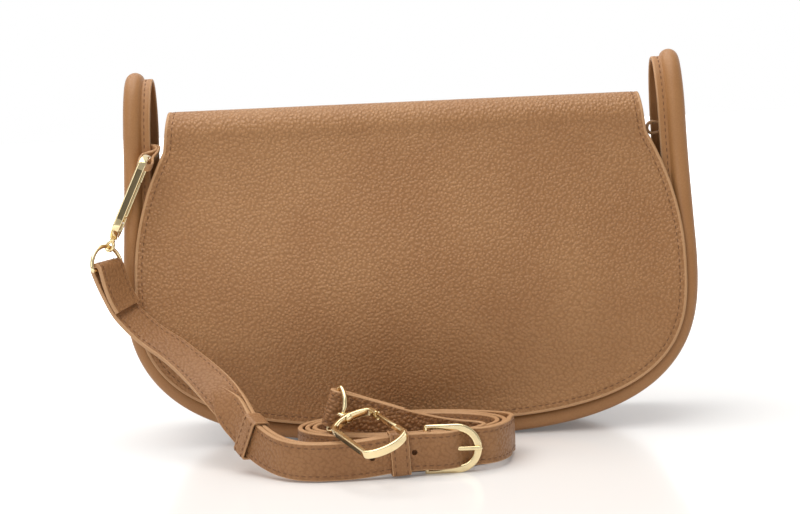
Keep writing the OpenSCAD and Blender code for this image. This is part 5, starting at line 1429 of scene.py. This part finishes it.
def buildHook(prefix, at, x, y, ringDir, hookBody, gateBody, swivelBody):
    # Hook: an oval band with a gap, a slot and a hole for its pin, and a sunk panel opposite
    h = hookSizes
    at, axes = frameOf(at, x, y)
    mid = hookLine(h["bandThick"] / 2)
    ring = np.vstack([mid, mid[:1]])
    length = lengthAlong(ring)
    u = np.linspace(0, length[-1], 241)[:-1]
    mid = np.stack([np.interp(u, length, ring[:, 0]), np.interp(u, length, ring[:, 1])], 1)
    for _ in range(10):
        mid = (np.roll(mid, 1, 0) + 2 * mid + np.roll(mid, -1, 0)) / 4
    tangent = unit(np.roll(mid, -1, 0) - np.roll(mid, 1, 0))
    outward = np.stack([-tangent[:, 1], tangent[:, 0]], 1)
    outward *= np.sign(np.sum(outward * mid, axis=1))[:, None]
    path = np.concatenate([mid, np.zeros((len(mid), 1))], 1)
    out = np.concatenate([outward, np.zeros((len(mid), 1))], 1)
    side = np.repeat(np.array([[0, 0, 1.0]]), len(mid), 0)
    v, f, _ = closedSweep(path, side, out, roundedBox(h["bandHeight"], h["bandThick"], 0.55, corner=4))
    hook = newPiece(prefix + "Hook", v, f, [gold], hookBody, (prefix + "_hook",), slot="metal")
    gateY = h["width"] / 2 - h["bandThick"] / 2
    pinX = h["gate"] / 2 + h["bandThick"] * 0.75
    slotX = pinX + h["slotEnd"]
    cutPiece(hook, [solidBox((h["gate"], h["bandThick"] + 2, 6), (0, gateY, 0)),
                    solidBox((slotX, h["bandThick"] + 2, h["tongue"] + 2 * h["play"]),
                             (slotX / 2, gateY, 0))])
    cutPiece(hook, [solidRod(h["pin"] / 2 + 0.05, 8, at=(pinX, gateY, 0)),
                    solidRod(h["pin"] / 2 + 0.45, 6, at=(h["length"] / 2, 0, 0), axis=(1, 0, 0))])
    cutPiece(hook, [solidBox((h["panelLength"], 2 * h["panelDepth"], h["panelHeight"]),
                             (0, -h["width"] / 2, 0))], recessGold)
    hook.data.transform(Matrix.Translation(Vector(at / 1000)) @ Matrix(axes.tolist()).to_4x4())
    smoothByAngle(hook, 32)
    # Gate: a bar that fills the gap, with a tongue and a knuckle on its pin
    barT = h["bandThick"] * 0.64
    start, end = -h["gate"] / 2 + h["play"], h["gate"] / 2 - 0.5
    xs = np.array([start, start + 0.15, start + 0.6, end - 0.6, end - 0.15, end])
    grow = np.array([0.75, 0.95, 1, 1, 0.95, 0.8])
    shapes = np.stack([roundedBox((h["bandHeight"] - 2 * h["play"]) * k, barT * k, 0.42 * k, corner=4)
                       for k in grow])
    p = np.stack([xs, np.full(6, gateY), np.zeros(6)], 1)
    bar = sweepSection(p, np.tile([0, 0, 1.0], (6, 1)), np.tile([0, 1.0, 0], (6, 1)), shapes)[:2]
    tongue = solidBox((pinX - 2, barT - 0.1, h["tongue"]), ((pinX - 2) / 2 + 2, gateY, 0))
    knuckle = latheRod([(-h["tongue"] / 2, 0.9), (-h["tongue"] / 2 + 0.15, 1.03),
                        (h["tongue"] / 2 - 0.15, 1.03), (h["tongue"] / 2, 0.9)],
                       (pinX, gateY, 0), (0, 0, 1), 24)
    v, f = joinMeshes([bar, tongue, knuckle])
    smoothByAngle(newPiece(prefix + "Gate", toWorld(v, at, axes), f, [gold], gateBody, (prefix + "_gate",),
                           slot="metal"), 40)
    e = h["bandHeight"] / 2
    v, f = latheRod([(-e, 0.35), (-e + 0.12, 0.55), (-e + 0.25, 0.58), (e - 0.25, 0.58), (e - 0.12, 0.55),
                     (e, 0.35)], (pinX, gateY, 0), (0, 0, 1), 20)
    smoothByAngle(newPiece(prefix + "GatePin", toWorld(v, at, axes), f, [gold], hookBody,
                           (prefix + "_gate_pin",), slot="metal"), 40)
    # Swivel: a headed post through the hook's end, and an eye for the ring
    s = swivelSizes
    endX = h["length"] / 2
    low = endX - h["bandThick"] - 2 * h["play"] - s["headHeight"]
    head = s["head"] / 2
    post = latheRod([(low, head - 0.4), (low + 0.12, head - 0.12), (low + 0.35, head),
                     (low + s["headHeight"], head), (low + s["headHeight"], s["post"] / 2),
                     (endX + h["play"], s["post"] / 2), (endX + h["play"], head * 0.78),
                     (endX + h["play"] + 0.2, head * 0.85), (endX + h["play"] + s["collar"], head * 0.8),
                     (endX + h["play"] + s["collar"] + 0.5, 0.9)], (0, 0, 0), (1, 0, 0))
    turn = math.atan2(-(ringDir @ axes[:, 1]), ringDir @ axes[:, 2])
    a = np.linspace(0, 2 * math.pi, 40, endpoint=False)
    rEye = s["eye"] + s["eyeWire"] / 2
    flat = np.stack([rEye * np.cos(a), rEye * np.sin(a), 0 * a], 1)
    spin = np.array([[1, 0, 0], [0, math.cos(turn), -math.sin(turn)], [0, math.sin(turn), math.cos(turn)]])
    path = flat @ spin.T + [endX + eyeReach, 0, 0]
    side = np.repeat((spin @ [0, 0, 1.0])[None], 40, 0)
    radial = (flat / rEye) @ spin.T
    eye = closedSweep(path, side, radial, circle(s["eyeWire"] / 2, 18))[:2]
    v, f = joinMeshes([post, eye])
    smoothByAngle(newPiece(prefix + "Swivel", toWorld(v, at, axes), f, [gold], swivelBody,
                           (prefix + "_swivel",), slot="metal"), 40)


buildRing("leftDring", leftBarAt, leftUp, leftBarDir, "bag", "left_dring")
buildRing("rightDring", rightBarAt, rightUp, rightBarDir, "right_ring_body", "right_dring")
buildHook("left", leftHookAt, leftHookX, leftHookY, ringTangent(leftUp, leftBarDir, leftTurn),
          "left_hook_body", "left_gate_body", "bag")
buildHook("right", rightHookAt, rightHookX, rightHookY, ringTangent(rightUp, rightBarDir, 0.0),
          "right_hook_body", "right_gate_body", "right_swivel_body")
print("metal ready")


# Ear loops
loop = {"width": 5, "thick": 1.4, "length": 13.5, "eye": 3, "height": 147, "y": -6, "play": 0.6,
        "gripTurn": 34, "sink": 0.3}
liningFace = gussetSizes["inset"] + liningEnd
strandStep = (loop["thick"] + bag["layerGap"]) / 2


def buildLoop(name, path, widths, node):
    # A narrow folded strip along smoothed points
    p, u = alongCurve(path, 0.5)
    w = curveAt(widths, u)
    along = unit(np.gradient(p, axis=0))
    across = squareTo(w, along)
    section, _ = strapSection(loop["width"], loop["thick"], radius=0.4, puff=0.1)
    v, f = sweepSection(p, across, np.cross(along, across), section)[:2]
    newPiece(name, v, f, [edgePaint], "bag", (node,))


def buildRightLoop():
    # Two strands from the ear's lining that part into a round eye, free
    eye = loop["eye"]
    startX = float(halfWidth(loop["height"], liningFace)) - loop["sink"]
    runX = loop["length"] - eye - loop["thick"] / 2
    strand = curveAt(np.array([[0, strandStep, 0], [0.3 * runX, strandStep, 0],
                               [0.62 * runX, mix(strandStep, eye, 0.55), 0], [runX, eye, 0]]),
                     np.arange(10) / 3)[:, :2]
    arc = np.array([[runX + eye * math.sin(a), eye * math.cos(a)] for a in np.radians(30 * np.arange(1, 6))])
    line = np.concatenate([strand, arc, strand[::-1] * [1, -1]])
    path = np.stack([startX - line[:, 0], np.full(len(line), loop["y"]), loop["height"] + line[:, 1]], 1)
    buildLoop("rightEarLoop", path, np.tile([0, 1.0, 0], (len(line), 1)), "right_ear_loop")


def buildLeftLoop():
    # A neck of two strands from the ear to the left hook, and a loop round the hook's band
    h, thick = hookSizes, loop["thick"]
    n = np.cross(leftHookX, leftHookY)
    grip = math.radians(loop["gripTurn"])
    outDir = leftHookY * math.sin(grip) - leftHookX * math.cos(grip)
    alongDir = leftHookX * math.sin(grip) + leftHookY * math.cos(grip)
    bowMiddle = leftHookAt - leftHookX * (h["length"] / 2 - h["endRadius"])
    gripAt = bowMiddle + outDir * (h["endRadius"] - h["bandThick"] / 2)
    a = h["bandThick"] / 2 + loop["play"] + thick / 2
    b = h["bandHeight"] / 2 + loop["play"] + thick / 2
    anchor = np.array([-float(halfWidth(loop["height"], liningFace + thick)),
                       loop["y"] - thick / 2, loop["height"] + thick])
    start = gripAt + outDir * 3 * a + [loop["play"] * 4.8, 0, 0]
    neck = np.array([start, start + [-loop["play"] / 2, 2.6 * thick, thick],
                     mix(start, anchor, 0.55) + [0, thick, thick / 2], anchor])
    neckAcross = np.array([-0.1, 0.2, -0.97])
    neckDir = np.array([unit(neck[min(i + 1, 3)] - neck[max(i - 1, 0)]) for i in range(4)])
    neckSide = unit(np.cross(neckDir, -neckAcross))
    halfLoop = np.array([gripAt + outDir * 1.5 * a + n * 0.72 * b, gripAt + outDir * 0.25 * a + n * b,
                         gripAt - outDir * 0.68 * a + n * 0.9 * b, gripAt - outDir * a + n * 0.42 * b])
    otherLoop = halfLoop - n * 2 * ((halfLoop - gripAt) @ n)[:, None]
    s = strandStep * (1 if neckSide[0] @ n > 0 else -1)
    path = np.concatenate([(neck + neckSide * s)[::-1], halfLoop, otherLoop[::-1], neck - neckSide * s])
    neckWidths = [mix(alongDir, neckAcross, float(ease(i / 2))) for i in range(4)]
    widths = np.array(neckWidths[::-1] + [alongDir] * 8 + neckWidths)
    buildLoop("leftEarLoop", path, widths, "left_ear_loop")


buildRightLoop()
buildLeftLoop()
print("ear loops ready")


# Snap
snap = {"height": 45, "radius": 8.45, "boss": 6, "bossHeight": 0.8, "sink": 0.3}
snapNear = float(frontY(0, snap["height"], gap))
snapSlope = float(frontY(0, snap["height"] + 1, 0) - frontY(0, snap["height"] - 1, 0)) / 2
snapAxis = unit([0, -1, snapSlope])
snapSpace = flapNear - gap - 2 * snap["sink"]
socketT = snapSpace * 0.5
studT = snapSpace - socketT - snap["sink"]
snapAt = np.array([0, snapNear - snap["sink"], snap["height"]])
bossHole = (snap["boss"] + 2 * snap["bossHeight"]) / 2
rim = snap["radius"]
socket = latheRod([(0, rim - 0.35), (0.2, rim), (socketT - 0.6, rim), (socketT - 0.15, rim - 0.55),
                   (socketT, rim - 1.25), (socketT, bossHole + 0.3), (socketT - 0.3, bossHole),
                   (socketT - 1.05, bossHole), (socketT - 1.1, 0.4)], snapAt, snapAxis, 48)
smoothByAngle(newPiece("snapSocket", *socket, [gold], "bag", ("snap_socket",), slot="metal"), 40)
studStart, boss = socketT + snap["sink"], snap["boss"] / 2
stud = latheRod([(studStart - snap["bossHeight"], boss - 0.6),
                 (studStart - snap["bossHeight"] + 0.15, boss - 0.05), (studStart, boss),
                 (studStart, rim - 1.05), (studStart + 0.15, rim - 0.35), (studStart + 0.4, rim),
                 (studStart + studT, rim)], snapAt, snapAxis, 48)
smoothByAngle(newPiece("snapStud", *stud, [gold], "flap", ("snap_stud",), slot="metal"), 40)
print("snap ready")


# Zip pocket
zipSizes = {"length": 150, "height": 118, "pocket": 58, "tape": 8, "tapeThick": 0.6, "stand": 2.4,
            "tooth": 1.5, "toothThick": 1.6, "pitch": 3, "sliderLength": 9, "sliderWidth": 7, "plate": 0.7,
            "bow": 6, "bowWidth": 2.4, "bowThick": 0.8, "bowHeight": 1.5, "puller": 24, "pullerWidth": 5,
            "pullerThick": 1.1, "sheet": 0.5}
zp = zipSizes
liningGap = gap + liningStart
zipWallY = float(backY(zp["height"], liningGap + bag["lining"]))
zipRise = float(backY(zp["height"] + zp["tape"], 0) - backY(zp["height"] - zp["tape"], 0))
zipSlope = math.atan(zipRise / (2 * zp["tape"]))
zipAt, zipAxes = frameOf([0, zipWallY, zp["height"]], [1, 0, 0],
                         [0, math.sin(zipSlope), math.cos(zipSlope)])
zipMid = zp["stand"] + zp["tapeThick"] / 2
tapes = []
for side in (-1, 1):
    xs = np.linspace(-zp["length"] / 2, zp["length"] / 2, 60)
    p = toWorld(np.stack([xs, np.full(60, side * (zp["tooth"] + zp["tape"]) / 2), np.full(60, zipMid)], 1),
                zipAt, zipAxes)
    tapes.append(sweepSection(p, np.repeat(zipAxes[:, 1][None], 60, 0),
                              np.repeat(zipAxes[:, 2][None], 60, 0),
                              roundedBox(zp["tape"], zp["tapeThick"], 0.2, belly=0.06))[:2])
xs = np.linspace(-zp["length"] / 2, zp["length"] / 2, 3)
footW = 0.3 * zp["tape"]
p = toWorld(np.stack([xs, np.full(3, zp["tooth"] / 2 + zp["tape"] - footW / 2),
                      np.full(3, bag["layerGap"] + zp["stand"] / 2)], 1), zipAt, zipAxes)
tapes.append(sweepSection(p, np.repeat(zipAxes[:, 1][None], 3, 0), np.repeat(zipAxes[:, 2][None], 3, 0),
                          roundedBox(footW, zp["stand"], 0.3))[:2])
newPiece("zipTapes", *joinMeshes(tapes), [suede], "bag", ("zip_tapes",), slot="lining")
sliderX = zp["sliderLength"] - zp["length"] / 2


def toothTree():
    # A row of zip teeth along the x axis, one at each pitch
    tree = bpy.data.node_groups.new("Zip Teeth", "GeometryNodeTree")
    face = tree.interface
    ids = {}
    inputs = (("Count", "NodeSocketInt", 40), ("Pitch", "NodeSocketFloat", 0.003),
              ("Size", "NodeSocketVector", None), ("Metal", "NodeSocketMaterial", None))
    for label, kind, value in inputs:
        s = face.new_socket(label, in_out="INPUT", socket_type=kind)
        if value is not None:
            s.default_value = value
        ids[label] = s.identifier
    face.new_socket("Geometry", in_out="OUTPUT", socket_type="NodeSocketGeometry")
    link = tree.links.new
    gin, gout = tree.nodes.new("NodeGroupInput"), tree.nodes.new("NodeGroupOutput")
    step = tree.nodes.new("ShaderNodeCombineXYZ")
    link(gin.outputs["Pitch"], step.inputs["X"])
    line = addNode(tree, "GeometryNodeMeshLine", mode="OFFSET")
    link(gin.outputs["Count"], line.inputs["Count"])
    link(step.outputs[0], line.inputs["Offset"])
    tooth = addNode(tree, "GeometryNodeMeshCube")
    link(gin.outputs["Size"], tooth.inputs["Size"])
    spread = tree.nodes.new("GeometryNodeInstanceOnPoints")
    link(line.outputs["Mesh"], spread.inputs["Points"])
    link(tooth.outputs["Mesh"], spread.inputs["Instance"])
    real = tree.nodes.new("GeometryNodeRealizeInstances")
    link(spread.outputs[0], real.inputs["Geometry"])
    paint = tree.nodes.new("GeometryNodeSetMaterial")
    link(real.outputs[0], paint.inputs["Geometry"])
    link(gin.outputs["Metal"], paint.inputs["Material"])
    link(paint.outputs[0], gout.inputs[0])
    return tree, ids


teethTree, teethIds = toothTree()
count = int((zp["length"] - zp["sliderLength"]) // zp["pitch"])
cord = toWorld(np.stack([np.linspace(sliderX - 1.5, sliderX - 1.5 + (count - 1) * zp["pitch"], 4),
                         np.zeros(4), np.full(4, zipMid)], 1), zipAt, zipAxes)
strip = sweepSection(cord, np.repeat(zipAxes[:, 1][None], 4, 0), np.repeat(zipAxes[:, 2][None], 4, 0),
                     roundedBox(zp["tooth"], 0.36, 0.12))
teeth = newPiece("zipTeeth", strip[0], strip[1], [gold], "bag", ("zip_teeth",), slot="metal")
mod = teeth.modifiers.new("Teeth", "NODES")
mod.node_group = teethTree
toothSize = (zp["pitch"] * 0.6 / 1000, zp["tooth"] / 1000, zp["toothThick"] / 1000)
values = {"Count": count, "Pitch": zp["pitch"] / 1000, "Size": toothSize, "Metal": gold}
for label, value in values.items():
    mod[teethIds[label]] = value
grown = bpy.data.meshes.new_from_object(teeth.evaluated_get(bpy.context.evaluated_depsgraph_get()))
teeth.modifiers.remove(mod)
toothStart = zipAt + zipAxes @ np.array([sliderX - 1.5 + zp["pitch"] * 0.3, 0, zipMid])
grown.transform(Matrix.Translation(Vector(toothStart / 1000)) @ Matrix(zipAxes.tolist()).to_4x4())
bm = bmesh.new()
bm.from_mesh(teeth.data)
bm.from_mesh(grown)
bm.to_mesh(teeth.data)
bm.free()
smoothByAngle(teeth, 30, bevel=0.15, segments=1)

sliderBack = zipMid - zp["toothThick"] / 2 - hookSizes["play"] - zp["plate"]
sliderFront = zipMid + zp["toothThick"] / 2 + hookSizes["play"]
parts = []
for z in (sliderBack, sliderFront):
    parts.append(solidBox((zp["sliderLength"], zp["sliderWidth"], zp["plate"]),
                          (sliderX, 0, z + zp["plate"] / 2)))
parts.append(solidBox((zp["sliderLength"] / 6, zp["tooth"] * 2 / 3, sliderFront + zp["plate"] - sliderBack),
                      (sliderX - zp["sliderLength"] * 5 / 12, 0,
                       (sliderFront + zp["plate"] + sliderBack) / 2)))
top = sliderFront + zp["plate"]
for end in (-1, 1):
    parts.append(solidBox((zp["bowThick"], zp["bowWidth"], zp["bowHeight"]),
                          (sliderX + end * (zp["bow"] - zp["bowThick"]) / 2, 0,
                           top + zp["bowHeight"] / 2 - 0.1)))
parts.append(solidBox((zp["bow"], zp["bowWidth"], zp["bowThick"]),
                      (sliderX, 0, top + zp["bowHeight"] + zp["bowThick"] / 2 - 0.2)))
v, f = joinMeshes(parts)
smoothByAngle(newPiece("zipSlider", toWorld(v, zipAt, zipAxes), f, [gold], "slider_body", ("zip_slider",),
                       slot="metal"), 30, bevel=0.18)
pullX, pullZ = sliderX + zp["bow"] / 5, top + hookSizes["play"] + zp["pullerThick"] / 2
outline = roundedBox(zp["puller"] - 4, zp["pullerWidth"], 1.6, corner=6) + [zp["puller"] / 2 + 2, 0]
m = len(outline)
t = zp["pullerThick"] / 2
rings = []
for z, shrink in ((-t, 0.25), (-t + 0.2, 0), (t - 0.2, 0), (t, 0.25)):
    c = outline.mean(0)
    ring = c + (outline - c) * (1 - shrink / np.maximum(np.abs(outline - c).max(0), 1))
    rings.append(np.column_stack([ring, np.full(m, z)]))
plate = (np.concatenate(rings), tubeFaces(4, m))
arms = [solidBox((5, 0.9, zp["pullerThick"] - 0.2),
                 (2.3, side * (zp["pullerWidth"] / 2 - 0.5), 0)) for side in (-1, 1)]
rod = solidRod(zp["pullerThick"] / 2, zp["pullerWidth"], at=(0, 0, 0), axis=(0, 1, 0))
v, f = joinMeshes([plate] + arms + [rod])
smoothByAngle(newPiece("zipPuller", toWorld(v + [pullX, 0, pullZ], zipAt, zipAxes), f, [gold],
                       "puller_body", ("zip_puller",), slot="metal"), 35)
half = zp["length"] / 2 + zp["tape"]
low, high = zp["height"] - zp["pocket"], zp["height"] - zp["sliderWidth"] / 2 - 0.4
wall = liningGap + bag["lining"]
rows = np.linspace(low, high, 24)
sheets = []
for near in (wall + bag["layerGap"], wall + bag["layerGap"] + 3 * zp["sheet"]):
    sheets.append(wallMesh(rows, np.full(24, half), near, near + zp["sheet"], backPlace))
newPiece("pocketBag", *joinMeshes(sheets), [suede], "bag", ("pocket_bag",), slot="lining")
print("zip ready")


# Floor, light and camera
studio = {"floor": 12.0, "floorRough": 0.16, "topLight": 19.0, "frontLight": 3.2, "room": 0.4,
          "lens": 78.6, "cameraTilt": -2.6}


def stagePlane(name, size, at, material):
    mesh = bpy.data.meshes.new(name)
    s = size / 2
    mesh.from_pydata([(-s, -s, 0), (s, -s, 0), (s, s, 0), (-s, s, 0)], [], [(0, 1, 2, 3)])
    mesh.materials.append(material)
    obj = bpy.data.objects.new(name, mesh)
    obj.location = at
    bpy.context.scene.collection.objects.link(obj)


floorMaterial, tree, shader = newMaterial("Studio Floor")
shader.inputs["Base Color"].default_value = (0.9, 0.89, 0.875, 1)
shader.inputs["Roughness"].default_value = studio["floorRough"]
shader.inputs["Specular IOR Level"].default_value = 0.45
far = addNode(tree, "ShaderNodeVectorMath", operation="LENGTH")
tree.links.new(addNode(tree, "ShaderNodeTexCoord").outputs["Object"], far.inputs[0])
seen = addNode(tree, "ShaderNodeLightPath")
seen = mathNode(tree, "MAXIMUM", seen.outputs["Is Camera Ray"], seen.outputs["Is Glossy Ray"])
glow = mapRange(tree, far.outputs["Value"], 0.2, 0.7, 0.11, 1.0)
tree.links.new(mathNode(tree, "MULTIPLY", glow, seen), shader.inputs["Emission Strength"])
shader.inputs["Emission Color"].default_value = (1, 1, 1, 1)
stagePlane("studioFloor", studio["floor"], (0, 0, -0.0002), floorMaterial)


def areaLight(name, at, target, size, power, color=(1, 1, 1), sizeY=None):
    data = bpy.data.lights.new(name, "AREA")
    data.energy, data.color = power, color
    data.shape, data.size, data.size_y = "RECTANGLE", size, sizeY or size
    obj = bpy.data.objects.new(name, data)
    obj.location = at
    obj.rotation_euler = (Vector(target) - Vector(at)).to_track_quat("-Z", "Y").to_euler()
    bpy.context.scene.collection.objects.link(obj)


areaLight("softTop", (-0.25, -0.12, 1.25), (0, -0.02, 0), 1.7, studio["topLight"], (1, 0.985, 0.96), 1.3)
areaLight("softFront", (-0.75, -1.25, 0.75), (0, 0, 0.08), 0.7, studio["frontLight"])
world = bpy.data.worlds.new("Studio")
world.use_nodes = True
tree = world.node_tree
room = tree.nodes["Background"]
room.inputs["Strength"].default_value = studio["room"]
white = addNode(tree, "ShaderNodeBackground", Strength=1.0)
white.inputs["Color"].default_value = (1, 1, 1, 1)
room.inputs["Color"].default_value = (1, 1, 1, 1)
ray = tree.nodes.new("ShaderNodeLightPath")
both = tree.nodes.new("ShaderNodeMixShader")
toward = addNode(tree, "ShaderNodeSeparateXYZ")
tree.links.new(addNode(tree, "ShaderNodeTexCoord").outputs["Generated"], toward.inputs[0])
behind = mapRange(tree, toward.outputs["Y"], -0.25, 0.5, 0.15, 1.0)
mirrored = mathNode(tree, "MULTIPLY", ray.outputs["Is Glossy Ray"], behind)
tree.links.new(mathNode(tree, "MAXIMUM", ray.outputs["Is Camera Ray"], mirrored), both.inputs[0])
tree.links.new(room.outputs[0], both.inputs[1])
tree.links.new(white.outputs[0], both.inputs[2])
tree.links.new(both.outputs[0], tree.nodes["World Output"].inputs["Surface"])
bpy.context.scene.world = world

camera = bpy.data.objects.new("productCamera", bpy.data.cameras.new("productCamera"))
bpy.context.scene.collection.objects.link(camera)
camera.data.sensor_width = 36
camera.data.lens = studio["lens"]
eye, aim = Vector((0.002, -0.886, 0.175)), Vector((-0.0047, -0.036, 0.0903))
turnQuat = (aim - eye).to_track_quat("-Z", "Y")
tilt = Matrix.Rotation(math.radians(studio["cameraTilt"]), 4, "Z")
camera.matrix_world = Matrix.Translation(eye) @ turnQuat.to_matrix().to_4x4() @ tilt
scene = bpy.context.scene
scene.camera = camera
scene.render.resolution_x, scene.render.resolution_y, scene.render.resolution_percentage = 800, 514, 100
scene.view_settings.view_transform = "Standard"
print("stage ready")
